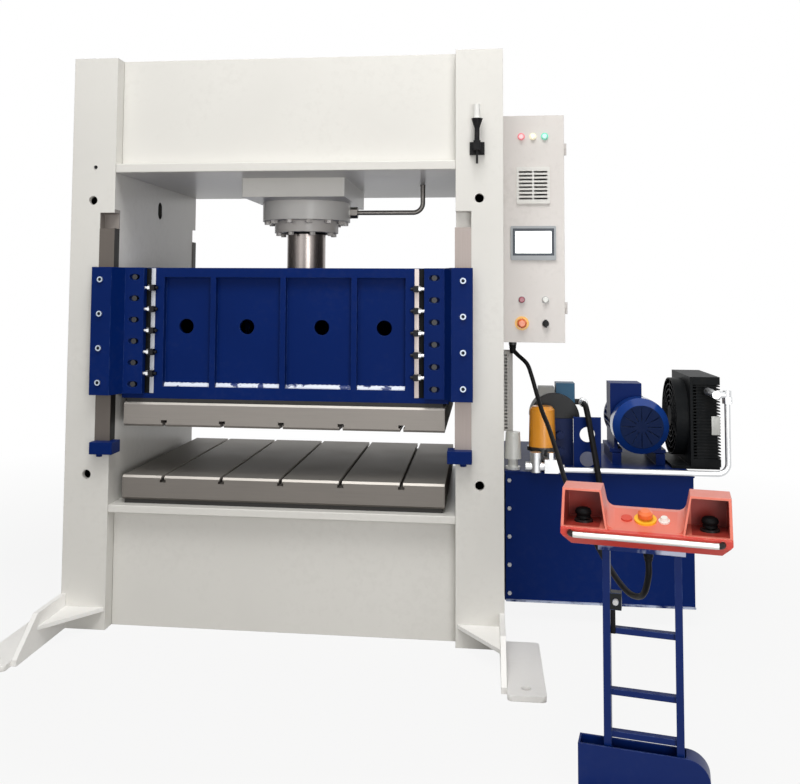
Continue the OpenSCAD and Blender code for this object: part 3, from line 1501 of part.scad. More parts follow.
module console_bumper() {
  bumper_z = console_z + 34;
  bumper_y = nose_y - 24;
  bend = 20;
  half = 198;
  color(steel) at_console() {
    translate([bend - half, bumper_y, bumper_z]) bar_x(bumper_d, 2 * (half - bend));
    both_sides() translate([half - bend, bumper_y + bend, bumper_z]) rotate([0, 0, -90])
      rotate_extrude(angle = 90) translate([bend, 0]) circle(d = bumper_d);
    both_sides() translate([half, bumper_y + bend, bumper_z]) bar_y(bumper_d, nose_y - bumper_y - bend);
  }
}
// Rings round the buttons, a blank plug and a lamp
module console_bezels() {
  plug_h = 5;
  lens_h = 9;
  at_console() {
    color(steel) for (s = [-1, 1]) on_recess(s) bezel(palm_d + 12, bezel_h);
    color(signal_yellow) on_deck(0) bezel(lamp_d * 2, bezel_h);
    color(black) on_deck(-control_pitch) {
      cylinder(d = lamp_d, h = plug_h);
      translate([0, 0, -barrel_len]) cylinder(d = panel_hole_d, h = barrel_len);
    }
    color(lamp_white) on_deck(control_pitch) {
      cylinder(d = lamp_d, h = plug_h);
      translate([0, 0, plug_h]) cylinder(d1 = lamp_d - 6, d2 = lamp_d - 12, h = lens_h);
      translate([0, 0, -barrel_len]) cylinder(d = panel_hole_d, h = barrel_len);
    }
  }
}
module left_palm_button() {
  color(black) at_console() on_recess(-1) push_cap(palm_d, 8, travel);
}
module right_palm_button() {
  color(black) at_console() on_recess(1) push_cap(palm_d, 8, travel);
}
module console_estop() {
  color(signal_red) at_console() on_deck(0) push_cap(palm_d, 18, stop_travel);
}
module console_stand() {
  base_front = -42;
  base_back = 20;
  foot_front = -150;
  foot_back = 160;
  foot_t = 12;
  sheet = 5;
  shoulder = base_h * 0.38;
  post_mid = -10;
  post_front = -30;
  post_d = 40;
  rung_t = 16;
  rung_inset = 10;
  rungs = [190, 302, 467];
  head_t = 12;
  head_half = post_x + post_t;
  clamp_z = 525;
  clamp_h = 46;
  clamp_w = 30;
  clamp_x = post_mid - post_x + post_t / 2;
  clamp_y = post_front + post_d - rung_inset;
  bolt_d = 16;
  color(press_blue) at_console() {
    difference() {
      translate([0, base_back, 0]) rotate([90, 0, 0]) linear_extrude(base_back - base_front) {
        translate([-base_left, 0]) square([base_left + base_right - shoulder, base_h]);
        translate([base_right - shoulder, 0]) square([shoulder, base_h - shoulder]);
        translate([base_right - shoulder, base_h - shoulder]) circle(shoulder);
      }
      block(sheet - base_left, base_right - shoulder, base_front + sheet, base_back - sheet, foot_t,
            base_h + eps);
    }
    block(-base_left, base_right, foot_front, foot_back, 0, foot_t);
    translate([post_mid, 0, 0]) {
      both_sides() block(post_x - post_t / 2, post_x + post_t / 2, post_front, post_front + post_d,
                         foot_t, console_z - head_t);
      for (z = rungs) block(-post_x, post_x, post_front + rung_inset, post_front + post_d - rung_inset,
                            z - rung_t / 2, z + rung_t / 2);
      block(-head_half, head_half, deck_front, post_front + post_d, console_z - head_t, console_z);
    }
  }
  color(black) at_console() block(clamp_x, clamp_x + clamp_w, post_front, clamp_y, clamp_z, clamp_z + clamp_h);
  color(chrome) at_console() translate([clamp_x + clamp_w / 2, post_front - rung_inset, clamp_z + clamp_h / 2])
    bar_y(bolt_d, rung_inset + 1);
}
module console_cable() {
  color(black) tube_along(cable_route, cable_d, 2, 10);
}

left_column();
right_column();
crown();
bed();
anchor_feet();
guide_rails();
guide_stops();
cylinder_barrel();
rod_gland();
cylinder_bolts();
cylinder_pipe();
lower_insulation();
lower_platen();
lower_heaters();
slide_frame();
gib_brackets();
gib_liners();
gib_screws();
gib_adjusters();
upper_insulation();
upper_platen();
upper_heaters();
press_ram();
oil_tank();
tank_lid();
motor_frame();
motor_cowl();
motor_rotor();
pump();
return_filter();
filler_breather();
valve_block();
solenoid_valve();
cooler_core();
cooler_shroud();
cooler_fan();
return_pipe();
return_hose();
control_cabinet();
cabinet_gear();
cable_duct();
signal_lamp();
cabinet_door();
vent_grille();
hmi_bezel();
hmi_screen();
indicator_lamps();
button_bezels();
red_button();
white_button();
estop_button();
selector_knob();
console_housing();
console_bumper();
console_bezels();
left_palm_button();
right_palm_button();
console_estop();
console_stand();
console_cable();
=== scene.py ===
# %% [markdown]
# # Dressing a heated hydraulic press
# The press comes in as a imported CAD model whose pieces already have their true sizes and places. This
# lesson gives them paint, steel, rubber and plastic, adds the fine pieces, and sets the photograph's
# view.

# %% Load the frame
import json
import math

import bmesh
import bpy
from mathutils import Matrix, Vector


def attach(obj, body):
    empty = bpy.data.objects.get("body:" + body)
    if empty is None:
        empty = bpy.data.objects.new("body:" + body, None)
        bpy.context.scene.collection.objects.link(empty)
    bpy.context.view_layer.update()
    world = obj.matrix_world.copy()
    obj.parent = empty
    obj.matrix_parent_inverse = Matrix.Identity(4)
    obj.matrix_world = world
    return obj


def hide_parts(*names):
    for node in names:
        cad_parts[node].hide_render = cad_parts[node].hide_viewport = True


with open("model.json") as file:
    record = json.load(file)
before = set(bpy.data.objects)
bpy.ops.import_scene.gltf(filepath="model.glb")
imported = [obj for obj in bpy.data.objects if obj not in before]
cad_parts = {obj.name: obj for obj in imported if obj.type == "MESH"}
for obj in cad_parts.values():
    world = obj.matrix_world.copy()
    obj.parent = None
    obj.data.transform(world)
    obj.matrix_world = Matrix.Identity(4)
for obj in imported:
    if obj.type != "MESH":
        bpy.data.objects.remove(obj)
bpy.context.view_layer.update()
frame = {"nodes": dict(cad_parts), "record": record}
nodes = frame["nodes"]

# %% [markdown]
# The camera stands in front of the right column at head height and looks a little to the left. Its
# angles were found from the frame's straight edges. A lens shift keeps the frame's uprights upright, as
# the photograph shows them, because tilting the camera further would make them lean.

# %% Camera
CAMERA_PLACE = Vector((0.839, -4.290, 1.389))
CAMERA_YAW = math.radians(6.76)
CAMERA_PITCH = math.radians(3.63)
CAMERA_ROLL = math.radians(0.34)
FOCAL_PIXELS = 923
PICTURE_WIDTH = 800
SENSOR_WIDTH = 36.0
LENS_SHIFT = (0.03, -0.196)


def camera_axes(yaw, pitch, roll):
    forward = Vector((-math.sin(yaw) * math.cos(pitch), math.cos(yaw) * math.cos(pitch), math.sin(pitch)))
    level = Vector((math.cos(yaw), math.sin(yaw), 0))
    upright = level.cross(forward)
    right = math.cos(roll) * level + math.sin(roll) * upright
    up = math.cos(roll) * upright - math.sin(roll) * level
    return right, up, -forward


camera_data = bpy.data.cameras.new("photo_camera")
camera_data.sensor_fit = "HORIZONTAL"
camera_data.sensor_width = SENSOR_WIDTH
camera_data.lens = SENSOR_WIDTH * FOCAL_PIXELS / PICTURE_WIDTH
camera_data.shift_x, camera_data.shift_y = LENS_SHIFT
camera_data.clip_end = 60
camera = bpy.data.objects.new("photo_camera", camera_data)
bpy.context.scene.collection.objects.link(camera)
camera.matrix_world = Matrix(camera_axes(CAMERA_YAW, CAMERA_PITCH, CAMERA_ROLL)).transposed().to_4x4()
camera.location = CAMERA_PLACE
bpy.context.scene.camera = camera
print("lens", round(camera_data.lens, 2), "mm")

# %% [markdown]
# Light in a workshop falls mostly from above and from the front. Four large soft lamps and a dim warm
# sky are enough, and they stay at a level where a paint's colour comes out as it is written. One lamp
# hangs over the aisle, where the feet and the console stand. The sky is white only for the rays that go
# to the camera or come off shiny metal.

# %% Sky and lamps
scene = bpy.context.scene
scene.view_settings.view_transform = "Standard"


def seen_rays(tree):
    """Camera, glossy and transmission rays together, as one factor."""
    path = tree.nodes.new("ShaderNodeLightPath")
    factor = path.outputs["Is Camera Ray"]
    for name in ("Is Glossy Ray", "Is Transmission Ray"):
        both = tree.nodes.new("ShaderNodeMath")
        both.operation = "MAXIMUM"
        tree.links.new(factor, both.inputs[0])
        tree.links.new(path.outputs[name], both.inputs[1])
        factor = both.outputs[0]
    return factor


world = bpy.data.worlds.new("pale_sky")
scene.world = world
world.use_nodes = True
sky = world.node_tree
sky.nodes.clear()
sky_out = sky.nodes.new("ShaderNodeOutputWorld")
sky_mix = sky.nodes.new("ShaderNodeMixShader")
sky_light = sky.nodes.new("ShaderNodeBackground")
sky_light.inputs["Color"].default_value = (1.0, 0.95, 0.89, 1)
sky_light.inputs["Strength"].default_value = 0.18
sky_white = sky.nodes.new("ShaderNodeBackground")
sky_white.inputs["Color"].default_value = (1, 1, 1, 1)
sky_white.inputs["Strength"].default_value = 1.0
sky.links.new(seen_rays(sky), sky_mix.inputs[0])
sky.links.new(sky_light.outputs[0], sky_mix.inputs[1])
sky.links.new(sky_white.outputs[0], sky_mix.inputs[2])
sky.links.new(sky_mix.outputs[0], sky_out.inputs[0])


def soft_lamp(name, place, target, size, watts, colour):
    data = bpy.data.lights.new(name, "AREA")
    data.shape = "DISK"
    data.size = size
    data.energy = watts
    data.color = colour
    lamp = bpy.data.objects.new(name, data)
    scene.collection.objects.link(lamp)
    lamp.location = place
    lamp.rotation_euler = (Vector(target) - Vector(place)).to_track_quat("-Z", "Y").to_euler()


soft_lamp("roof_lamp", (0.2, -3.4, 5.6), (0.4, -0.3, 0.8), 4.0, 134, (1.0, 1.0, 0.98))
soft_lamp("aisle_lamp", (0.8, -2.4, 5.0), (0.8, -1.6, 0.0), 2.0, 62, (1.0, 1.0, 0.99))
soft_lamp("front_lamp", (-2.2, -5.6, 2.4), (0.2, 0, 1.0), 3.0, 26, (1.0, 1.0, 1.0))
soft_lamp("right_lamp", (2.4, -6.2, 1.2), (0.7, 0, 0.5), 2.8, 124, (1.0, 1.0, 1.0))
print("lamps:", len(bpy.data.lights))

# %% [markdown]
# The photograph has a white ground. The floor is a dull grey sheet that bounces a little light back,
# mixed with a white glow that only the camera and shiny metal see. The glow is a little weaker near the
# press, so that the press seems to stand on something.

# %% Floor
floor_mesh = bpy.data.meshes.new("floor")
floor_bm = bmesh.new()
bmesh.ops.create_grid(floor_bm, x_segments=1, y_segments=1, size=25)
floor_bm.to_mesh(floor_mesh)
floor_bm.free()
floor = bpy.data.objects.new("floor", floor_mesh)
scene.collection.objects.link(floor)
floor_paint = bpy.data.materials.new("pale_floor")
floor_paint.use_nodes = True
ground = floor_paint.node_tree
ground.nodes.clear()
ground_out = ground.nodes.new("ShaderNodeOutputMaterial")
ground_mix = ground.nodes.new("ShaderNodeMixShader")
ground_dull = ground.nodes.new("ShaderNodeBsdfDiffuse")
ground_dull.inputs["Color"].default_value = (0.36, 0.35, 0.33, 1)
ground_glow = ground.nodes.new("ShaderNodeEmission")
ground_glow.inputs["Strength"].default_value = 1.0
ground_far = ground.nodes.new("ShaderNodeVectorMath")
ground_far.operation = "LENGTH"
ground.links.new(ground.nodes.new("ShaderNodeTexCoord").outputs["Object"], ground_far.inputs[0])
ground_fade = ground.nodes.new("ShaderNodeMapRange")
for label, value in (("From Min", 1.6), ("From Max", 4.5), ("To Min", 0.90), ("To Max", 1.0)):
    ground_fade.inputs[label].default_value = value
ground.links.new(ground_far.outputs["Value"], ground_fade.inputs["Value"])
ground_part = ground.nodes.new("ShaderNodeMath")
ground_part.operation = "MULTIPLY"
ground.links.new(seen_rays(ground), ground_part.inputs[0])
ground.links.new(ground_fade.outputs["Result"], ground_part.inputs[1])
ground.links.new(ground_part.outputs[0], ground_mix.inputs[0])
ground.links.new(ground_dull.outputs[0], ground_mix.inputs[1])
ground.links.new(ground_glow.outputs[0], ground_mix.inputs[2])
ground.links.new(ground_mix.outputs[0], ground_out.inputs[0])
floor_mesh.materials.append(floor_paint)
print("floor laid")

# %% [markdown]
# Shader trees are built from the same few nodes over and over. These helpers add one node each and take
# either a number or another node's output for every input.

# %% Node helpers
def math_node(tree, operation, a, b=None, clamp=False):
    node = tree.nodes.new("ShaderNodeMath")
    node.operation = operation
    node.use_clamp = clamp
    for slot, value in ((0, a), (1, b)):
        if value is None:
            continue
        if isinstance(value, (int, float)):
            node.inputs[slot].default_value = value
        else:
            tree.links.new(value, node.inputs[slot])
    return node.outputs[0]


def range_node(tree, value, low, high, to_low=0.0, to_high=1.0):
    node = tree.nodes.new("ShaderNodeMapRange")
    node.inputs["From Min"].default_value = low
    node.inputs["From Max"].default_value = high
    node.inputs["To Min"].default_value = to_low
    node.inputs["To Max"].default_value = to_high
    tree.links.new(value, node.inputs["Value"])
    return node.outputs["Result"]


def noise_node(tree, vector, scale, detail=4.0, rough=0.55):
    node = tree.nodes.new("ShaderNodeTexNoise")
    node.inputs["Detail"].default_value = detail
    node.inputs["Roughness"].default_value = rough
    if isinstance(scale, (int, float)):
        node.inputs["Scale"].default_value = scale
    else:
        tree.links.new(scale, node.inputs["Scale"])
    tree.links.new(vector, node.inputs["Vector"])
    return node.outputs["Fac"]


def mix_colour(tree, factor, a, b):
    node = tree.nodes.new("ShaderNodeMix")
    node.data_type = "RGBA"
    for socket, value in ((node.inputs[0], factor), (node.inputs[6], a), (node.inputs[7], b)):
        if isinstance(value, (int, float)):
            socket.default_value = value
        elif isinstance(value, tuple):
            socket.default_value = (*value, 1)
        else:
            tree.links.new(value, socket)
    return node.outputs[2]


# %% [markdown]
# Three effects come back in many finishes, so each is a shader node group. The first is *edge wear*:
# paint rubs off at edges first. The group compares the true normal with one rounded over a few
# millimetres, which is only different near an edge, and hands the rounded one on.

# %% Edge wear
FLOAT = "NodeSocketFloat"
COLOUR = "NodeSocketColor"
VECTOR = "NodeSocketVector"


def new_group(name, inputs, outputs):
    tree = bpy.data.node_groups.new(name, "ShaderNodeTree")
    for label, kind, value in inputs:
        socket = tree.interface.new_socket(label, in_out="INPUT", socket_type=kind)
        if value is not None:
            socket.default_value = value
    for label, kind in outputs:
        tree.interface.new_socket(label, in_out="OUTPUT", socket_type=kind)
    return tree, tree.nodes.new("NodeGroupInput"), tree.nodes.new("NodeGroupOutput")


def build_edge_wear():
    tree, given, made = new_group(
        "edge_wear",
        [("Vector", VECTOR, None), ("Amount", FLOAT, 0.5), ("Scale", FLOAT, 30.0)],
        [("Mask", FLOAT), ("Normal", VECTOR)],
    )
    rounded = tree.nodes.new("ShaderNodeBevel")
    rounded.samples = 4
    rounded.inputs["Radius"].default_value = 0.003
    plain = tree.nodes.new("ShaderNodeNewGeometry")
    dot = tree.nodes.new("ShaderNodeVectorMath")
    dot.operation = "DOT_PRODUCT"
    tree.links.new(rounded.outputs[0], dot.inputs[0])
    tree.links.new(plain.outputs["Normal"], dot.inputs[1])
    edge = range_node(tree, dot.outputs["Value"], 0.995, 0.85)
    breaks = range_node(tree, noise_node(tree, given.outputs["Vector"], given.outputs["Scale"]), 0.42, 0.62)
    broken = math_node(tree, "MULTIPLY", edge, breaks)
    edge_wear_and_sheen = math_node(tree, "MULTIPLY", broken, given.outputs["Amount"], True)
    tree.links.new(edge_wear_and_sheen, made.inputs["Mask"])
    tree.links.new(rounded.outputs[0], made.inputs["Normal"])
    return tree


EDGE_WEAR = build_edge_wear()
print("group:", EDGE_WEAR.name)

# %% [markdown]
# *Paint skin* is the slight mottle, the specks of grime and the orange peel of sprayed paint. Each
# comes from a noise of its own size.

# %% Paint skin
def build_paint_skin():
    tree, given, made = new_group(
        "paint_skin",
        [("Vector", VECTOR, None), ("Colour", COLOUR, None), ("Mottle", FLOAT, 0.06),
         ("Grime", COLOUR, (0.2, 0.18, 0.15, 1)), ("Grime Amount", FLOAT, 0.1)],
        [("Colour", COLOUR), ("Roughness", FLOAT), ("Height", FLOAT)],
    )
    where = given.outputs["Vector"]
    cloud = noise_node(tree, where, 2.3, 5.0)
    fine = noise_node(tree, where, 38.0, 3.0)
    shade = math_node(tree, "MULTIPLY", math_node(tree, "SUBTRACT", cloud, 0.5), given.outputs["Mottle"])
    bright = tree.nodes.new("ShaderNodeHueSaturation")
    tree.links.new(given.outputs["Colour"], bright.inputs["Color"])
    lightness = math_node(tree, "ADD", math_node(tree, "MULTIPLY", shade, 4.0), 1.0)
    tree.links.new(lightness, bright.inputs["Value"])
    spots = range_node(tree, math_node(tree, "MULTIPLY", cloud, fine), 0.27, 0.42)
    dirt = math_node(tree, "MULTIPLY", spots, given.outputs["Grime Amount"], True)
    dirty = mix_colour(tree, dirt, bright.outputs["Color"], given.outputs["Grime"])
    tree.links.new(dirty, made.inputs["Colour"])
    dull = math_node(tree, "ADD", math_node(tree, "MULTIPLY", fine, 0.12),
                     math_node(tree, "MULTIPLY", cloud, 0.1))
    tree.links.new(dull, made.inputs["Roughness"])
    tree.links.new(noise_node(tree, where, 420.0, 2.0), made.inputs["Height"])
    return tree


PAINT_SKIN = build_paint_skin()
print("group:", PAINT_SKIN.name)

# %% [markdown]
# *Machining marks* are the fine lines that a cutter or a grinding wheel leaves. They are a noise that
# is stretched along the way that the tool went.

# %% Machining marks
def build_machining_marks():
    tree, given, made = new_group(
        "machining_marks",
        [("Vector", VECTOR, None), ("Lines", VECTOR, None), ("Colour", COLOUR, None),
         ("Strength", FLOAT, 0.3)],
        [("Colour", COLOUR), ("Roughness", FLOAT), ("Height", FLOAT)],
    )
    stretch = tree.nodes.new("ShaderNodeVectorMath")
    stretch.operation = "MULTIPLY"
    tree.links.new(given.outputs["Vector"], stretch.inputs[0])
    tree.links.new(given.outputs["Lines"], stretch.inputs[1])
    lines = noise_node(tree, stretch.outputs[0], 1.0, 3.0)
    cloud = noise_node(tree, given.outputs["Vector"], 5.0, 4.0)
    both = math_node(tree, "ADD", math_node(tree, "MULTIPLY", lines, 0.65),
                     math_node(tree, "MULTIPLY", cloud, 0.35))
    swing = math_node(tree, "MULTIPLY", math_node(tree, "SUBTRACT", both, 0.5), given.outputs["Strength"])
    bright = tree.nodes.new("ShaderNodeHueSaturation")
    tree.links.new(given.outputs["Colour"], bright.inputs["Color"])
    tree.links.new(math_node(tree, "ADD", swing, 1.0), bright.inputs["Value"])
    tree.links.new(bright.outputs["Color"], made.inputs["Colour"])
    tree.links.new(range_node(tree, both, 0.3, 0.7, 0.24, 0.44), made.inputs["Roughness"])
    tree.links.new(lines, made.inputs["Height"])
    return tree


MACHINING_MARKS = build_machining_marks()
print("group:", MACHINING_MARKS.name)

# %% [markdown]
# Several pieces carry more than one colour, such as the filter's black head under its orange bowl. The
# CAD node is one mesh, so the second colour is laid on by place: a box in the node's own coordinates
# gives a mask. The console stands at an angle, so its boxes are measured along its own axes through a
# Mapping node.

# %% Colour zones
CONSOLE_PLACE = Vector((1.278, -1.620, 0))
CONSOLE_TURN = math.radians(11.3)


def console_axes(tree, where):
    """Object coordinates turned and moved into the console's own axes."""
    node = tree.nodes.new("ShaderNodeMapping")
    turn = Matrix.Rotation(CONSOLE_TURN, 3, "Z")
    node.inputs["Rotation"].default_value = (0, 0, CONSOLE_TURN)
    node.inputs["Location"].default_value = -(turn @ CONSOLE_PLACE)
    tree.links.new(where, node.inputs["Vector"])
    return node.outputs[0]


def zone(x=None, y=None, z=None, console=False, mirror_x=False, broken=None):
    """A mask that is 1 inside the ranges, pairs of metres. A noise of scale broken breaks it up."""
    def mask(tree, where):
        source = console_axes(tree, where) if console else where
        split = tree.nodes.new("ShaderNodeSeparateXYZ")
        tree.links.new(source, split.inputs[0])
        total = None
        for axis, span in enumerate((x, y, z)):
            if span is None:
                continue
            value = split.outputs[axis]
            if axis == 0 and mirror_x:
                value = math_node(tree, "ABSOLUTE", value)
            inside = math_node(tree, "MULTIPLY", math_node(tree, "GREATER_THAN", value, span[0]),
                               math_node(tree, "LESS_THAN", value, span[1]))
            total = inside if total is None else math_node(tree, "MULTIPLY", total, inside)
        if broken:
            patches = range_node(tree, noise_node(tree, where, broken), 0.42, 0.54)
            total = math_node(tree, "MULTIPLY", total, patches)
        return total
    return mask


def lay_zones(tree, where, colour, zones):
    """The colour with each zone's own colour laid over it."""
    for mask, zone_colour in zones:
        colour = mix_colour(tree, mask(tree, where), colour, zone_colour)
    return colour


# %% [markdown]
# Every material starts in the same way: a Principled shader, the piece's own coordinates, one of the
# groups and a fine bump.

# %% Material helpers
def start_material(name):
    material = bpy.data.materials.new(name)
    material.use_nodes = True
    tree = material.node_tree
    shader = tree.nodes["Principled BSDF"]
    where = tree.nodes.new("ShaderNodeTexCoord").outputs["Object"]
    return material, tree, shader, where


def place_group(tree, group, where, **values):
    node = tree.nodes.new("ShaderNodeGroup")
    node.node_tree = group
    tree.links.new(where, node.inputs["Vector"])
    for label, value in values.items():
        node.inputs[label.replace("_", " ")].default_value = value
    return node


def add_bump(tree, shader, height, strength, distance, normal=None):
    bump = tree.nodes.new("ShaderNodeBump")
    bump.inputs["Strength"].default_value = strength
    bump.inputs["Distance"].default_value = distance
    tree.links.new(height, bump.inputs["Height"])
    if normal is not None:
        tree.links.new(normal, bump.inputs["Normal"])
    tree.links.new(bump.outputs[0], shader.inputs["Normal"])


# %% [markdown]
# Sprayed paint is a pigment under a thin clear skin. The base colour gets the mottle, the wear shows
# primer or steel at the edges, and a fine bump breaks the reflections. On the blue paints the edges come
# out a lighter blue, which is partly wear and partly a painted edge highlight. One function makes every
# paint, with its own colour, gloss and amount of wear.

# %% Sprayed paint
def sprayed_paint(name, colour, edge_wear_and_sheen, gloss=0.35, mottle=0.05, grime=0.1, wear=0.5, coat=0.25, peel=0.12,
                  shine=0.5, zones=(), coat_zone=None):
    material, tree, shader, where = start_material(name)
    skin = place_group(tree, PAINT_SKIN, where, Colour=(*colour, 1), Mottle=mottle, Grime_Amount=grime)
    if zones:
        tree.links.new(lay_zones(tree, where, colour, zones), skin.inputs["Colour"])
    shader.inputs["Specular IOR Level"].default_value = shine
    edge = place_group(tree, EDGE_WEAR, where, Amount=wear)
    wear_and_sheen = mix_colour(tree, edge.outputs["Mask"], skin.outputs["Colour"], edge_wear_and_sheen)
    tree.links.new(wear_and_sheen, shader.inputs["Base Color"])
    tree.links.new(math_node(tree, "ADD", skin.outputs["Roughness"], gloss - 0.1), shader.inputs["Roughness"])
    shader.inputs["Coat Weight"].default_value = coat
    shader.inputs["Coat Roughness"].default_value = 0.18
    if coat_zone:
        coated = math_node(tree, "MULTIPLY", coat_zone(tree, where), coat)
        tree.links.new(coated, shader.inputs["Coat Weight"])
    add_bump(tree, shader, skin.outputs["Height"], peel, 0.0006, edge.outputs["Normal"])
    return material


# %% [markdown]
# Bare metal is told apart by its colour and its marks. A milled face has lines one way, and a zinc
# plated screw has none.

# %% Bare metal
def bare_metal(name, colour, lines=(8, 900, 900), strength=0.3, rough=0.0, metallic=1.0, bump=0.08, zones=()):
    material, tree, shader, where = start_material(name)
    marks = place_group(tree, MACHINING_MARKS, where, Lines=lines, Colour=(*colour, 1), Strength=strength)
    if zones:
        tree.links.new(lay_zones(tree, where, colour, zones), marks.inputs["Colour"])
    tree.links.new(marks.outputs["Colour"], shader.inputs["Base Color"])
    tree.links.new(math_node(tree, "ADD", marks.outputs["Roughness"], rough), shader.inputs["Roughness"])
    shader.inputs["Metallic"].default_value = metallic
    add_bump(tree, shader, marks.outputs["Height"], bump, 0.0004)
    return material


# %% [markdown]
# Plastic and rubber take a fine grain from the mould. Their edges don't wear to another colour, and a
# lamp's lens glows.

# %% Moulded plastic
def moulded(name, colour, rough=0.4, grain=260.0, bump=0.12, mottle=0.03, coat=0.0, glow=0.0, shine=0.5,
            zones=()):
    material, tree, shader, where = start_material(name)
    shader.inputs["Specular IOR Level"].default_value = shine
    skin = place_group(tree, PAINT_SKIN, where, Colour=(*colour, 1), Mottle=mottle, Grime_Amount=0.05)
    if zones:
        tree.links.new(lay_zones(tree, where, colour, zones), skin.inputs["Colour"])
    if glow:
        tree.links.new(skin.outputs["Colour"], shader.inputs["Emission Color"])
        shader.inputs["Emission Strength"].default_value = glow
    tree.links.new(skin.outputs["Colour"], shader.inputs["Base Color"])
    # the skin's own roughness is about 0.11 on average
    dull = math_node(tree, "ADD", skin.outputs["Roughness"], rough - 0.11)
    tree.links.new(dull, shader.inputs["Roughness"])
    shader.inputs["Coat Weight"].default_value = coat
    add_bump(tree, shader, noise_node(tree, where, grain, 2.0), bump, 0.0005)
    return material


# %% [markdown]
# The frame is welded plate under an off-white workshop paint, and the inside of the box columns was
# never painted. A zone paints that inside near black, mostly as painted shade, where the hose slot lets
# one look in. A second zone paints the notch above the left front rail darker, as painted shade.

# %% Frame and cabinet paints
WORN_GREY = (0.42, 0.40, 0.37)
FRAME_WHITE = (0.70, 0.688, 0.655)
BLACK = (0.007, 0.008, 0.009)
frame_skin = {"gloss": 0.45, "mottle": 0.03, "wear": 0.3, "grime": 0.05}
# inside of the box columns near black, mostly painted shade; notch above the left rail: painted shade
column_inside_and_notch_shade_zones = [
    (zone(x=(0.7215, 0.8875), y=(-0.47, 0.47), z=(0.024, 2.366), mirror_x=True), (0.02, 0.018, 0.016)),
    (zone(x=(-0.79, -0.7195), y=(-0.5495, -0.49), z=(1.655, 1.74)), (0.24, 0.21, 0.19)),
]
finishes = {
    "frame_paint": sprayed_paint("frame_paint", FRAME_WHITE, WORN_GREY, **frame_skin),
    "cabinet_paint": sprayed_paint("cabinet_paint", (0.68, 0.645, 0.62), WORN_GREY, gloss=0.5, wear=0.25,
                                   peel=0.35, zones=[(zone(z=(1.0, 1.1845)), BLACK)]),
}
column_paint_and_shade = sprayed_paint("column_paint_and_shade", FRAME_WHITE, WORN_GREY, zones=column_inside_and_notch_shade_zones, **frame_skin)
# The feet are painted lighter than the frame: painted light for the strong light on their tops.
feet_painted_light = sprayed_paint("feet_painted_light", (0.93, 0.92, 0.90), WORN_GREY, **frame_skin)
cylinder_paint = sprayed_paint("cylinder_paint", (0.62, 0.59, 0.55), WORN_GREY, gloss=0.45, mottle=0.04,
                               wear=0.3, grime=0.08)
print("frame paints made")

# %% [markdown]
# The slide, the tank and the stand are a deep blue. On the tank's lower edge and on the stand's top edge
# under the console a nearly white blue is painted in as a painted highlight, broken up by noise.
# The motor's cowl is glossier than its flat front, and a mask on the clear coat says where. The flat
# front is painted a much darker blue as painted shade.

# %% Blue paints
# edge colour of the blue paints: partly wear, partly a painted edge highlight
WORN_AND_HIGHLIGHT_BLUE = (0.06, 0.11, 0.30)
PRESS_BLUE = (0.0015, 0.0150, 0.112)
PALE_BLUE_HIGHLIGHT = (0.52, 0.58, 0.74)
COWL_FACE = -0.0585
blue_skin = {"mottle": 0.10, "grime": 0.02, "coat": 0.0}
tank_zones = [
    # painted highlight along the tank's lower front edge
    (zone(y=(-0.24, -0.2004), z=(0.0, 0.0985), broken=9.0), PALE_BLUE_HIGHLIGHT),
    (zone(y=(-0.215, -0.2015), z=(0.10, 0.60)), (0.55, 0.56, 0.58)),
]
stand_zones = [
    # painted highlight along the stand's top edge under the console
    (zone(z=(0.6895, 0.7025), broken=11.0), PALE_BLUE_HIGHLIGHT),
    (zone(x=(-0.0955, -0.0645), z=(0.52, 0.575), console=True), BLACK),
    (zone(x=(-0.09, -0.07), y=(-0.06, -0.0302), z=(0.53, 0.565), console=True), (0.6, 0.6, 0.6)),
]
finishes.update({
    "blue_paint": sprayed_paint("blue_paint", PRESS_BLUE, WORN_AND_HIGHLIGHT_BLUE, gloss=0.40, wear=0.7, shine=0.06,
                                **blue_skin),
    "deep_blue_paint": sprayed_paint("deep_blue_paint", (0.004, 0.014, 0.075), WORN_AND_HIGHLIGHT_BLUE, gloss=0.42,
                                     wear=0.6, grime=0.03, coat=0.0, shine=0.16),
})
tank_paint = sprayed_paint("tank_blue", PRESS_BLUE, WORN_AND_HIGHLIGHT_BLUE, gloss=0.42, wear=0.8, shine=0.06,
                           zones=tank_zones, **blue_skin)
stand_paint = sprayed_paint("stand_blue", PRESS_BLUE, WORN_AND_HIGHLIGHT_BLUE, gloss=0.36, wear=0.9, shine=0.2,
                            zones=stand_zones, **blue_skin)
cowl_paint_and_shade = sprayed_paint("cowl_blue_and_shade", (0.008, 0.046, 0.250), WORN_AND_HIGHLIGHT_BLUE, gloss=0.30, mottle=0.06,
                           grime=0.02, wear=0.6, coat=0.9, shine=0.04,
                           # the flat front: painted shade
                           zones=[(zone(y=(-0.2, COWL_FACE)), (0.0015, 0.010, 0.052))],
                           coat_zone=zone(y=(COWL_FACE, 0.6)))
print("blue paints made")
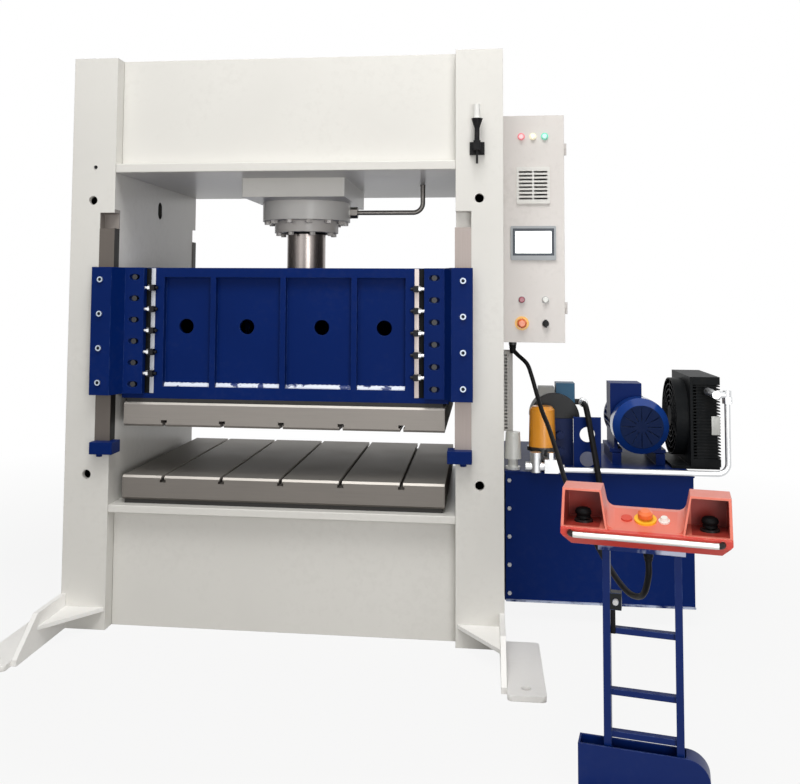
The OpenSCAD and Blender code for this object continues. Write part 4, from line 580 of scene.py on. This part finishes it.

# %% [markdown]
# The console is a red moulding that catches the light on top. Its front is a deeper red, its hollows
# are painted a dark red as painted shade, and two seams cross the nose. The valves and the filter's head
# are black, with their plug boxes and the bowl in colours of their own.

# %% Console and hydraulic paints
CONSOLE_RED = (0.70, 0.175, 0.12)
console_seam_and_shade_zones = [
    (zone(x=(0.097, 0.099), y=(-0.2, -0.066), console=True, mirror_x=True), (0.2, 0.02, 0.015)),
    # the hood hollows: painted shade
    (zone(x=(0.121, 0.217), y=(-0.05, 0.2), z=(0.70, 0.835), console=True, mirror_x=True),
     (0.30, 0.03, 0.02)),
    (zone(y=(-0.09, -0.0505), z=(0.70, 0.7485), console=True), (0.64, 0.055, 0.038)),
    (zone(z=(0.0, 0.7015)), BLACK),
]
valve_zones = [
    (zone(x=(1.1565, 1.2415), y=(0.0045, 0.0955), z=(0.901, 1.0)), (0.012, 0.10, 0.20)),
    (zone(x=(1.0795, 1.1505), y=(0.0045, 0.0955), z=(0.900, 0.98)), (0.42, 0.43, 0.42)),
]
finishes.update({
    "console_paint": sprayed_paint("console_paint", CONSOLE_RED, (0.85, 0.35, 0.26), gloss=0.38, mottle=0.06,
                                   grime=0.03, wear=0.7, coat=0.1, shine=0.4, zones=console_seam_and_shade_zones),
    "filter_shell": sprayed_paint("filter_shell", (0.92, 0.36, 0.02), (0.55, 0.22, 0.05), gloss=0.3, wear=0.3,
                                  coat=0.4, zones=[(zone(z=(0.5, 0.7222)), BLACK)]),
    "cast_housing": sprayed_paint("cast_housing", (0.05, 0.055, 0.06), (0.2, 0.2, 0.2), gloss=0.5, peel=0.4),
    "black_metal": sprayed_paint("black_metal", BLACK, (0.06, 0.06, 0.06), gloss=0.45, grime=0.03, wear=0.4,
                                 shine=0.06, coat=0.0),
})
valve_paint = sprayed_paint("valve_black", BLACK, (0.10, 0.10, 0.10), gloss=0.42, wear=0.4, shine=0.3,
                            coat=0.0, zones=valve_zones)
print("paints:", sorted(finishes))

# %% [markdown]
# The platens are ground steel that has been hot many times, so they are darker and browner than new
# steel. Their top edges are painted pale as a painted highlight, and the lower platen's base colour is
# darker as painted shade, with its top face lighter as painted light. The rod is hard chromed, and the
# small screws are zinc plated, with their sockets painted dark as painted shade. The same maker gives all
# of them, with other line directions and lightness.

# %% The press's metals
DARK_OXIDE = (0.05, 0.05, 0.052)
PLATEN_EDGE_HIGHLIGHT = (0.55, 0.52, 0.48)
ALONG_X = (7, 260, 260)
ALONG_Z = (260, 260, 7)
NO_GRAIN = (300, 300, 300)
bumper_zones = [(zone(x=(0.188, 0.3), console=True, mirror_x=True), (0.04, 0.035, 0.035))]
finishes.update({
    "machined_steel": bare_metal("machined_steel", (0.30, 0.28, 0.26), rough=0.16),
    "dark_steel": bare_metal("dark_steel", (0.08, 0.08, 0.085), rough=0.14),
    "hard_chrome": bare_metal("hard_chrome", (0.28, 0.25, 0.235), lines=(900, 900, 6), strength=0.16,
                              rough=-0.06, bump=0.03),
    "bright_steel": bare_metal("bright_steel", (0.70, 0.71, 0.72), strength=0.2, rough=0.0),
    "bearing_bronze": bare_metal("bearing_bronze", (0.50, 0.34, 0.16), strength=0.3, rough=0.08),
    "bumper_metal": bare_metal("bumper_metal", (0.70, 0.68, 0.64), lines=(6, 700, 700), strength=0.25,
                               rough=0.08, zones=bumper_zones),
})
# darker base as painted shade, lighter top face as painted light, pale top edge as painted highlight
lower_platen_steel_light_and_shade = bare_metal("lower_platen_steel_light_and_shade", (0.17, 0.155, 0.14), lines=ALONG_X, strength=0.6,
                                rough=0.22, metallic=0.7,
                                zones=[(zone(z=(0.6235, 0.63)), (0.24, 0.225, 0.205)),
                                       (zone(z=(0.6150, 0.6235)), PLATEN_EDGE_HIGHLIGHT)])
# pale top edge: painted highlight
upper_platen_steel_highlight = bare_metal("upper_platen_steel_highlight", (0.25, 0.23, 0.21), lines=ALONG_X, strength=0.5,
                                rough=0.22, metallic=0.7, zones=[(zone(z=(0.9190, 0.929)), PLATEN_EDGE_HIGHLIGHT)])
# The right rails are painted lighter as painted light, and the left rail's inner side face near black as
# painted shade.
rail_steel_light_and_shade = bare_metal("rail_steel_light_and_shade", (0.118, 0.102, 0.090), lines=ALONG_Z, strength=0.5, rough=0.22,
                        metallic=0.6, zones=[(zone(x=(0.7, 0.8)), (0.33, 0.285, 0.265)),
                                             (zone(x=(-0.7172, -0.70)), (0.02, 0.018, 0.016))])
# the socket zone is painted shade
screw_zinc_socket_shade = bare_metal("screw_zinc_socket_shade", (0.40, 0.45, 0.52), lines=NO_GRAIN, strength=0.2, rough=0.1, zones=[
    (zone(x=(0.0, 0.712), mirror_x=True), DARK_OXIDE),
    (zone(x=(0.7445, 0.7585), y=(-0.6146, -0.6078), mirror_x=True), (0.015, 0.017, 0.02))])
adjuster_steel = bare_metal("adjuster_steel", (0.70, 0.71, 0.72), lines=NO_GRAIN, rough=0.05,
                            zones=[(zone(x=(0.0, 0.5685), mirror_x=True), (0.02, 0.02, 0.022))])
print("metals made")

# %% [markdown]
# Plastics are moulded with a fine grain. Lamp lenses and the screen glow a little, since they were lit,
# and each lens takes its own colour from its place on the door, paler on its raised middle.

# %% The cabinet's plastics
SIGNAL_YELLOW = (0.90, 0.48, 0.03)
SIGNAL_RED = (0.60, 0.035, 0.03)
CABLE_GREY = (0.6, 0.6, 0.57)
RED_LENS = (0.9, 1.02)
GREEN_LENS = (1.07, 1.2)
LENS_MIDDLE = (-0.3, -0.2757)
lens_zones = [
    (zone(y=LENS_MIDDLE), (0.95, 0.92, 0.76)),
    (zone(x=RED_LENS), (0.75, 0.12, 0.16)), (zone(x=GREEN_LENS), (0.06, 0.55, 0.36)),
    (zone(x=RED_LENS, y=LENS_MIDDLE), (0.90, 0.55, 0.57)),
    (zone(x=GREEN_LENS, y=LENS_MIDDLE), (0.52, 0.86, 0.76)),
]
gear_zones = [(zone(z=(1.45, 1.65)), CABLE_GREY), (zone(z=(1.87, 2.1)), CABLE_GREY),
              (zone(y=(0.02, 0.06)), (0.45, 0.45, 0.44))]
finishes.update({
    "duct_plastic": moulded("duct_plastic", (0.52, 0.51, 0.49), rough=0.5),
    "screen_glass": moulded("screen_glass", (0.86, 0.90, 0.90), rough=0.12, bump=0.0, coat=0.6, glow=0.75),
    "lamp_lens": moulded("lamp_lens", (0.80, 0.74, 0.52), rough=0.2, bump=0.0, coat=0.5, glow=0.35,
                         zones=lens_zones),
    "red_plastic": moulded("red_plastic", SIGNAL_RED, rough=0.3, bump=0.05, coat=0.4),
    "white_plastic": moulded("white_plastic", (0.72, 0.73, 0.70), rough=0.35, bump=0.05, coat=0.3),
    "device_plastic": moulded("device_plastic", (0.035, 0.035, 0.04), rough=0.45, zones=gear_zones),
})
stop_plastic = moulded("stop_orange", (0.80, 0.16, 0.03), rough=0.3, bump=0.05, coat=0.4)
crimson_plastic = moulded("crimson_plastic", (0.30, 0.012, 0.045), rough=0.3, bump=0.05, coat=0.4)
panel_grey = moulded("panel_grey", (0.34, 0.36, 0.38), rough=0.4,
                     zones=[(zone(x=(0.9565, 1.1325), z=(1.5565, 1.6735)), (0.02, 0.03, 0.045))])
grille_white = moulded("grille_white", (0.72, 0.71, 0.68), rough=0.5)
bezel_plastic = moulded("bezel_plastic", (0.42, 0.42, 0.43), rough=0.35, coat=0.3,
                        zones=[(zone(x=(0.95, 1.04), z=(1.22, 1.31)), SIGNAL_YELLOW)])
print("cabinet plastics made")

# %% [markdown]
# Rubber and black plastic reflect very little, so their shine is turned down and they stay black under
# a white sky. The insulation boards between platen and frame are a coarse pressed sheet.

# %% Rubber and black plastics
finishes.update({
    "insulation_board": moulded("insulation_board", (0.012, 0.011, 0.010), rough=0.75, grain=700.0, bump=0.3),
    "hose_rubber": moulded("hose_rubber", (0.006, 0.006, 0.007), rough=0.5, grain=900.0, bump=0.25,
                           shine=0.10),
    "black_plastic": moulded("black_plastic", (0.009, 0.009, 0.010), rough=0.42, shine=0.15),
})
palm_black = moulded("palm_black", (0.004, 0.004, 0.0045), rough=0.55, shine=0.08)
signal_plastic = moulded("signal_plastic", (0.008, 0.008, 0.009), rough=0.4, shine=0.12,
                         zones=[(zone(z=(2.0945, 2.3)), (0.8, 0.8, 0.78))])
deck_rings = moulded("deck_rings", (0.012, 0.011, 0.011), rough=0.4, shine=0.2, zones=[
    (zone(x=(-0.032, 0.032), console=True), SIGNAL_YELLOW),
    (zone(x=(-0.07, -0.032), console=True), (0.62, 0.08, 0.05)),
    (zone(x=(0.032, 0.07), console=True), (0.80, 0.78, 0.74))])
print("finishes:", len(finishes))

# %% [markdown]
# Each CAD node names the kind of finish that it needs in its record. Most nodes take that one, and a
# few have a finish of their own from the cells above.

# %% Finishes onto the nodes
slot_of = {row["node"]: row["material_slot"] for row in frame["record"]["subparts"]}
own_finish = {
    "left_column": column_paint_and_shade, "right_column": column_paint_and_shade, "anchor_feet": feet_painted_light,
    "rod_gland": cylinder_paint, "cylinder_bolts": cylinder_paint, "guide_rails": rail_steel_light_and_shade,
    "lower_platen": lower_platen_steel_light_and_shade, "upper_platen": upper_platen_steel_highlight,
    "gib_screws": screw_zinc_socket_shade, "gib_adjusters": adjuster_steel,
    "oil_tank": tank_paint, "motor_cowl": cowl_paint_and_shade, "solenoid_valve": valve_paint,
    "console_stand": stand_paint, "console_bezels": deck_rings, "console_estop": stop_plastic,
    "left_palm_button": palm_black, "right_palm_button": palm_black,
    "estop_button": stop_plastic, "red_button": crimson_plastic, "button_bezels": bezel_plastic,
    "hmi_bezel": panel_grey, "vent_grille": grille_white, "signal_lamp": signal_plastic,
}
for name, node in nodes.items():
    node.data.materials.clear()
    node.data.materials.append(own_finish.get(name, finishes[slot_of[name]]))
print("nodes dressed:", len(nodes))

# %% [markdown]
# No plate edge on a real machine is razor sharp: it is ground by hand or folded. A Bevel modifier takes
# the sharp edges off the large pieces, after a Weld modifier has joined the loose triangles of the CAD
# mesh, so that the edges catch a thin line of light. The mesh itself stays as CAD made it.

# %% Softened edges
def soften_edges(name, width, segments=2):
    node = nodes[name]
    weld = node.modifiers.new("join", "WELD")
    weld.merge_threshold = 0.00002
    soft = node.modifiers.new("soft_edges", "BEVEL")
    soft.width = width
    soft.segments = segments
    soft.limit_method = "ANGLE"
    soft.angle_limit = math.radians(50)
    soft.profile = 0.5
    soft.harden_normals = True


for name, width in (("crown", 0.004), ("bed", 0.004), ("anchor_feet", 0.003), ("guide_stops", 0.003)):
    soften_edges(name, width)
print("edges softened")

# %% [markdown]
# The fine pieces that CAD leaves out are made here with a few helpers: a plate with bevelled edges, a
# turned ring, and a pressed cap. Each starts from a simple bmesh shape and is worked on with operators,
# so its edges catch the light like real ones.

# %% Piece helpers
def plate(bm, low, high, edge):
    """A plate between two corners, its edges taken off by a small bevel."""
    made = bmesh.ops.create_cube(bm, size=1.0)["verts"]
    bmesh.ops.scale(bm, vec=[b - a for a, b in zip(low, high)], verts=made)
    bmesh.ops.translate(bm, vec=[(a + b) / 2 for a, b in zip(low, high)], verts=made)
    edges = list({e for v in made for e in v.link_edges})
    bmesh.ops.bevel(bm, geom=edges, offset=edge, offset_type="OFFSET", affect="EDGES", segments=2,
                    profile=0.5, material=-1)


def turned(bm, profile, centre, steps=32):
    """A turned ring: pairs of radius and height, spun about an upright axis."""
    ring = [bm.verts.new((centre[0] + radius, centre[1], centre[2] + height)) for radius, height in profile]
    edges = [bm.edges.new(pair) for pair in zip(ring, ring[1:] + ring[:1])]
    bmesh.ops.spin(bm, geom=ring + edges, cent=centre, axis=(0, 0, 1), angle=2 * math.pi, steps=steps,
                   use_merge=True)


def pressed_cap(bm, centre, radius, facing):
    """A short disc along Y with a raised rim on the side that it faces, 1 or -1."""
    turn = Matrix.Rotation(-facing * math.pi / 2, 4, "X")
    disc = bmesh.ops.create_cone(bm, cap_ends=True, segments=40, radius1=radius, radius2=radius, depth=0.004,
                                 matrix=Matrix.Translation(centre) @ turn)["verts"]
    bm.normal_update()
    outer = [f for f in {f for v in disc for f in v.link_faces} if f.normal.y * facing > 0.9]
    bmesh.ops.inset_region(bm, faces=outer, thickness=radius / 6, depth=-0.0015)


def add_piece(name, bm, material, body):
    """The finished bmesh as a piece that rides on a body."""
    bmesh.ops.recalc_face_normals(bm, faces=bm.faces)
    mesh = bpy.data.meshes.new(name)
    bm.to_mesh(mesh)
    bm.free()
    mesh.shade_smooth()
    mesh.set_sharp_from_angle(angle=math.radians(40))
    mesh.materials.append(material)
    piece = bpy.data.objects.new(name, mesh)
    scene.collection.objects.link(piece)
    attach(piece, body)
    print(name, len(mesh.polygons), "faces")
    return piece


# %% [markdown]
# A cord is a fixed length of something flexible. Each one repeats its CAD route as a smooth curve: a
# poly line through the same points, thickened by the curve's own bevel. The points are millimetres from
# the nearer end, since a cord is easiest to place from where it comes out.

# %% Cord routes
CABLE_DIAMETER = 0.018
HOSE_DIAMETER = 0.026
MILLIMETRE = 0.001
cabinet_gland = Vector((0.958, -0.180, 1.170))
console_gland = Vector((1.28976, -1.59176, 0.687))
hose_start = Vector((1.276, 0.0, 0.905))
hose_end = Vector((1.320, -0.268, 0.520))
cable_from_cabinet = [(0, 0, 0), (0, 0, -10), (0, 0, -20), (22, -12, -44), (60, -40, -80), (78, -80, -130),
                      (96, -140, -200), (112, -220, -258), (130, -310, -305), (142, -400, -346),
                      (151, -490, -382), (159, -590, -418), (167, -680, -450)]
cable_to_console = [(-136, 592, -26), (-108, 462, -78), (-82, 342, -122), (-58, 232, -154), (-36, 142, -168),
                    (-18, 72, -158), (-7, 26, -130), (0, 0, -76), (0, 0, -38), (0, 0, 0)]
hose_from_valve = [(0, 0, 0), (0, -30, 0), (0, -60, 0), (2, -96, -6), (4, -127, -24), (8, -152, -55),
                   (14, -178, -105), (20, -204, -154)]
hose_to_tank = [(-18, 38, 183), (-12, 16, 135), (-9, 9, 110), (-6, 4, 85), (-3, 1, 60), (0, 0, 40),
                (0, 0, 20), (0, 0, 0)]


def from_end(end, offsets):
    return [end + MILLIMETRE * Vector(offset) for offset in offsets]


cable_points = from_end(cabinet_gland, cable_from_cabinet) + from_end(console_gland, cable_to_console)
hose_points = from_end(hose_start, hose_from_valve) + from_end(hose_end, hose_to_tank)
print("route points:", len(cable_points), "and", len(hose_points))

# %% [markdown]
# A real cable bends smoothly, so a smooth line is drawn through the points, bending at each one by the
# way that its two neighbours lie. The length is measured along that line.

# %% Cords
def smooth_route(points, steps):
    """Points on the smooth line through the route, the same line that the CAD solid follows."""
    route = []
    last = len(points) - 1
    for i in range(last):
        a, b, c, d = (Vector(points[max(0, min(last, i + k))]) for k in (-1, 0, 1, 2))
        for k in range(steps):
            u = k / steps
            bend = (2 * a - 5 * b + 4 * c - d) * u ** 2 + (3 * b - a - 3 * c + d) * u ** 3
            route.append(0.5 * (2 * b + (c - a) * u + bend))
    return route + [Vector(points[-1])]


def lay_cord(name, points, diameter, material, steps=6):
    route = smooth_route(points, steps)
    data = bpy.data.curves.new(name, "CURVE")
    data.dimensions = "3D"
    data.bevel_depth = diameter / 2
    data.bevel_resolution = 4
    data.use_fill_caps = True
    line = data.splines.new("POLY")
    line.points.add(len(route) - 1)
    for point, place in zip(line.points, route):
        point.co = (*place, 1)
    line.use_smooth = True
    data.materials.append(material)
    cord = bpy.data.objects.new(name, data)
    scene.collection.objects.link(cord)
    length = sum((b - a).length for a, b in zip(route, route[1:]))
    print(name, "length", round(length, 3), "m")
    return cord, length


cable, cable_length = lay_cord("control_cable_cord", cable_points, CABLE_DIAMETER, finishes["hose_rubber"])
hose, hose_length = lay_cord("pressure_hose_cord", hose_points, HOSE_DIAMETER, finishes["hose_rubber"])

# %% [markdown]
# Where the cable leaves a housing, a moulded rubber boot keeps it from bending sharply. It is a turned
# sleeve that tapers from the gland nut down to the cable, with grooves that let it flex. The hose ends
# in pressed steel ferrules instead, so it gets a stepped sleeve at each end.

# %% Strain reliefs and ferrules
def rubber_boot(name, top):
    bm = bmesh.new()
    profile = [(0.0093, 0.0), (0.0155, 0.0), (0.0155, -0.006), (0.0142, -0.008), (0.0150, -0.010),
               (0.0145, -0.016), (0.0130, -0.018), (0.0138, -0.020), (0.0130, -0.027), (0.0116, -0.029),
               (0.0122, -0.031), (0.0104, -0.038), (0.0093, -0.038)]
    turned(bm, profile, top)
    return add_piece(name, bm, finishes["hose_rubber"], "frame")


def pressed_ferrule(name, foot, along, length):
    bm = bmesh.new()
    r = HOSE_DIAMETER / 2 + 0.0004
    turned(bm, [(r, 0.0), (r + 0.006, 0.0), (r + 0.006, 0.012), (r + 0.0035, 0.013),
                (r + 0.0035, length - 0.003), (r + 0.002, length), (r, length)], Vector((0, 0, 0)))
    turn = Vector((0, 0, 1)).rotation_difference(along).to_matrix().to_4x4()
    bmesh.ops.transform(bm, matrix=Matrix.Translation(foot) @ turn, verts=bm.verts)
    return add_piece(name, bm, finishes["bright_steel"], "frame")


cable_boots = [rubber_boot("cabinet_cable_boot", cabinet_gland),
               rubber_boot("console_cable_boot", console_gland)]
hose_ferrules = [pressed_ferrule("hose_ferrule_valve", hose_start, Vector((0, -1, 0)), 0.045),
                 pressed_ferrule("hose_ferrule_tank", hose_end, Vector((0, 0, 1)), 0.040)]
for cord, node, points, length, diameter, ends in (
        (cable, "console_cable", cable_points, cable_length, CABLE_DIAMETER, cable_boots),
        (hose, "return_hose", hose_points, hose_length, HOSE_DIAMETER, hose_ferrules)):
    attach(cord, "frame")
    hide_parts(node)

# %% [markdown]
# The slide is welded from plates. Where each front panel meets the bottom flange there is a fillet
# weld, and broken pale streaks along it are painted in as a painted highlight. The bead is a ring extruded
# step by step, swelling and shrinking a little, and closed at both ends, with the painted highlight made
# by a noise threshold.

# %% Slide welds
LEDGE_TOP = 0.994
PANEL_FACE = 0.470
BEAD_RADIUS = 0.017
RIPPLE_PITCH = 0.010
RIPPLE = 1.12
panel_spans = [(-0.511, -0.313), (-0.287, -0.013), (0.013, 0.287), (0.313, 0.511)]


def weld_bead(bm, start, end):
    """A round bead along X with the ripples that a welder leaves."""
    step_count = max(2, round((end - start).length / RIPPLE_PITCH))
    step = (end - start) / step_count
    across = Matrix.Translation(start) @ Matrix.Rotation(math.pi / 2, 4, "Y")
    ring = bmesh.ops.create_circle(bm, cap_ends=False, radius=BEAD_RADIUS, segments=10,
                                   matrix=across)["verts"]
    edges = list({e for v in ring for e in v.link_edges})
    for k in range(step_count):
        made = bmesh.ops.extrude_edge_only(bm, edges=edges)["geom"]
        ring = [g for g in made if isinstance(g, bmesh.types.BMVert)]
        edges = [g for g in made if isinstance(g, bmesh.types.BMEdge) and all(v in ring for v in g.verts)]
        swell = RIPPLE if k % 2 else 1 / RIPPLE
        bmesh.ops.translate(bm, vec=step, verts=ring)
        to_centre = Matrix.Translation(-(start + (k + 1) * step))
        bmesh.ops.scale(bm, vec=(1, swell, swell), space=to_centre, verts=ring)


def sheen_streaked_paint(name, colour, sheen_colour, scale, low, high):
    material, tree, shader, where = start_material(name)
    skin = place_group(tree, PAINT_SKIN, where, Colour=(*colour, 1), Mottle=0.08, Grime_Amount=0.05)
    # patches of painted highlight
    wear_and_sheen = range_node(tree, noise_node(tree, where, scale, 5.0), low, high)
    tree.links.new(mix_colour(tree, wear_and_sheen, skin.outputs["Colour"], sheen_colour), shader.inputs["Base Color"])
    tree.links.new(math_node(tree, "ADD", skin.outputs["Roughness"], 0.35), shader.inputs["Roughness"])
    add_bump(tree, shader, skin.outputs["Height"], 0.2, 0.0006)
    return material


blue_weld_sheen = sheen_streaked_paint("blue_weld_sheen", (0.01, 0.03, 0.15), (0.78, 0.83, 0.93), 17.0, 0.40, 0.45)
weld_bm = bmesh.new()
for face in (-1, 1):
    for left, right in panel_spans:
        y = face * PANEL_FACE
        weld_bead(weld_bm, Vector((left, y, LEDGE_TOP)), Vector((right, y, LEDGE_TOP)))
bmesh.ops.holes_fill(weld_bm, edges=weld_bm.edges)
add_piece("slide_welds", weld_bm, blue_weld_sheen, "slide")

# %% [markdown]
# Beside each guide bracket the slide's corner post was milled flat where the adjusting lugs stand, so a
# bare strip runs past them, and a gap is left between it and the bracket. Thin plates show both: the
# bare strips, with the right-hand ones painted lighter as a painted highlight, and black plates that
# stand in for the gap as painted shade.

# %% Milled strips beside the brackets
SLIDE_FACE = 0.500
STRIP_LOW = 0.966
STRIP_HIGH = 1.492
STRIP_SPAN = (0.551, 0.569)
STRIP_PROUD = 0.0022
GAP_SHADE_SPAN = (0.5705, 0.5905)
GAP_SHADE_PROUD = 0.0012
STRIP_SUNK = 0.0004
STRIP_EDGE = 0.0004
# right-hand strips painted lighter: a painted highlight
strip_metal_and_highlight = bare_metal("milled_strip", (0.48, 0.50, 0.54), lines=(300, 300, 12), strength=0.35, rough=0.15,
                        metallic=0.35, zones=[(zone(x=(0.5, 0.6)), (0.64, 0.56, 0.53))])
strip_bm = bmesh.new()
gap_shade_bm = bmesh.new()
for side in (-1, 1):
    for face in (-1, 1):
        for bm, span, proud in ((strip_bm, STRIP_SPAN, STRIP_PROUD), (gap_shade_bm, GAP_SHADE_SPAN, GAP_SHADE_PROUD)):
            xs = sorted(side * x for x in span)
            ys = sorted((face * (SLIDE_FACE - STRIP_SUNK), face * (SLIDE_FACE + proud)))
            plate(bm, (xs[0], ys[0], STRIP_LOW), (xs[1], ys[1], STRIP_HIGH), STRIP_EDGE)
add_piece("milled_strips", strip_bm, strip_metal_and_highlight, "slide")
# black plates standing in for the gaps: painted shade
add_piece("bracket_gap_shade", gap_shade_bm, finishes["black_metal"], "slide")

# %% [markdown]
# A rubber wiper sits in the gland's mouth and keeps dirt off the chromed rod. It is a turned ring with
# a lip.

# %% Rod wiper
GLAND_UNDERSIDE = 1.672
wiper_profile = [(0.0905, -0.007), (0.0930, -0.008), (0.0985, -0.004), (0.1060, -0.0035), (0.1075, 0.0),
                 (0.0905, 0.0)]
wiper_bm = bmesh.new()
turned(wiper_bm, wiper_profile, Vector((0, 0, GLAND_UNDERSIDE)), steps=64)
add_piece("rod_wiper", wiper_bm, finishes["hose_rubber"], "frame")

# %% [markdown]
# The console is a plastic moulding, so the deck runs into each hood's side in a hollow curve and not in
# a sharp corner. The curve's section is an arc that touches both faces. It is drawn once as a ring at
# the deck's front edge, extruded up the slope and along the back ledge, and closed at both ends, in the
# console's own axes.

# %% Deck fillets
FILLET_RADIUS = 0.024
FILLET_STEPS = 9
FILLET_TUCK = 0.001
HOOD_LEAN = math.atan(0.026 / 0.1251)
DECK_FRONT_EDGE = Vector((0.0982, -0.050, 0.7499))
UP_THE_DECK = Vector((0.0071, 0.105, 0.0341))
ALONG_THE_LEDGE = Vector((0, 0.030, 0))
console_matrix = Matrix.Translation(CONSOLE_PLACE) @ Matrix.Rotation(-CONSOLE_TURN, 4, "Z")


def deck_fillet(bm, side):
    reach = FILLET_RADIUS / math.tan((math.pi / 2 + HOOD_LEAN) / 2)
    middle = DECK_FRONT_EDGE + Vector((-reach, 0, FILLET_RADIUS))
    section = [DECK_FRONT_EDGE + Vector((FILLET_TUCK, 0, -FILLET_TUCK))]
    for k in range(FILLET_STEPS + 1):
        angle = -math.pi / 2 + (math.pi / 2 - HOOD_LEAN) * k / FILLET_STEPS
        section.append(middle + FILLET_RADIUS * Vector((math.cos(angle), 0, math.sin(angle))))
    ring = [bm.verts.new((side * p.x, p.y, p.z)) for p in section]
    edges = [bm.edges.new(pair) for pair in zip(ring, ring[1:] + ring[:1])]
    for step in (UP_THE_DECK, ALONG_THE_LEDGE):
        made = bmesh.ops.extrude_edge_only(bm, edges=edges)["geom"]
        ring = [g for g in made if isinstance(g, bmesh.types.BMVert)]
        edges = [g for g in made if isinstance(g, bmesh.types.BMEdge) and all(v in ring for v in g.verts)]
        bmesh.ops.translate(bm, vec=(side * step.x, step.y, step.z), verts=ring)


fillet_bm = bmesh.new()
for side in (-1, 1):
    deck_fillet(fillet_bm, side)
bmesh.ops.holes_fill(fillet_bm, edges=fillet_bm.edges)
bmesh.ops.transform(fillet_bm, matrix=console_matrix, verts=fillet_bm.verts)
fillet_red = moulded("fillet_red", CONSOLE_RED, rough=0.38, grain=420.0, mottle=0.06, coat=0.1, shine=0.4)
add_piece("deck_fillets", fillet_bm, fillet_red, "frame")

# %% [markdown]
# A palm button is a mushroom: a wide dome on a short stem, easy to hit with a flat hand. CAD has the
# cap and the stem, and the dome is turned here and rides on the button, so that it sinks with it.

# %% Palm domes
dome_profile = [(0.0005, 0.0), (0.0185, 0.0), (0.0225, 0.005), (0.0228, 0.010), (0.0200, 0.0165),
                (0.0125, 0.0205), (0.0005, 0.0220)]
palm_places = {"left_palm": (1.1146, -1.5751, 0.7678), "right_palm": (1.4461, -1.6413, 0.7678)}
for body, place in palm_places.items():
    dome_bm = bmesh.new()
    turned(dome_bm, dome_profile, Vector(place))
    add_piece(body + "_dome", dome_bm, palm_black, body)

# %% [markdown]
# A black strap hangs from the cable clamp to the rung below it. It is a thin plate with rounded edges.

# %% Clamp strap
STRAP_CORNERS = ((-0.0945, -0.0240, 0.459), (-0.0815, -0.0202, 0.527))
STRAP_EDGE = 0.0012
strap_bm = bmesh.new()
plate(strap_bm, *STRAP_CORNERS, STRAP_EDGE)
bmesh.ops.transform(strap_bm, matrix=console_matrix, verts=strap_bm.verts)
add_piece("clamp_strap", strap_bm, finishes["hose_rubber"], "frame")

# %% [markdown]
# No light falls through the slide's front holes in the photograph, so the holes at the back are taken
# as closed by pressed caps. Each is a short disc whose outer face is inset and pushed in, which leaves
# a raised rim.

# %% Hole caps
HOLE_HEIGHT = 1.2465
CAP_RADIUS = 0.036
CAP_PROUD = 0.0022
cap_bm = bmesh.new()
for x in (-0.423, -0.160, 0.160, 0.423):
    pressed_cap(cap_bm, (x, PANEL_FACE + CAP_PROUD, HOLE_HEIGHT), CAP_RADIUS, 1)
add_piece("hole_caps", cap_bm, finishes["black_plastic"], "slide")

# %% [markdown]
# A small black cap stands in for the dark of a tapped hole high on the left column, as painted shade. It
# is the same kind of cap, only smaller.

# %% Column hole shade
HOLE_SHADE_PLACE = (-0.8077, -0.5506, 1.9202)
HOLE_SHADE_RADIUS = 0.0075
hole_shade_bm = bmesh.new()
pressed_cap(hole_shade_bm, HOLE_SHADE_PLACE, HOLE_SHADE_RADIUS, -1)
add_piece("column_hole_shade", hole_shade_bm, finishes["black_plastic"], "frame")

# %% [markdown]
# The cooler carries a blank white plate on its end, held by two rivets. It is a bevelled plate with two
# flattened domes for the rivet heads.

# %% Cooler plate
PLATE_CORNERS = ((1.822, -0.0616, 0.781), (1.858, -0.0596, 0.862))
PLATE_EDGE = 0.0006
RIVET_RADIUS = 0.003
cooler_bm = bmesh.new()
plate(cooler_bm, *PLATE_CORNERS, PLATE_EDGE)
for z in (0.787, 0.856):
    rivet = Vector((1.840, -0.0614, z))
    head = bmesh.ops.create_uvsphere(cooler_bm, u_segments=14, v_segments=8, radius=RIVET_RADIUS,
                                     matrix=Matrix.Translation(rivet))["verts"]
    bmesh.ops.scale(cooler_bm, vec=(1, 0.5, 1), space=Matrix.Translation(-rivet), verts=head)
add_piece("cooler_plate", cooler_bm, finishes["white_plastic"], "frame")
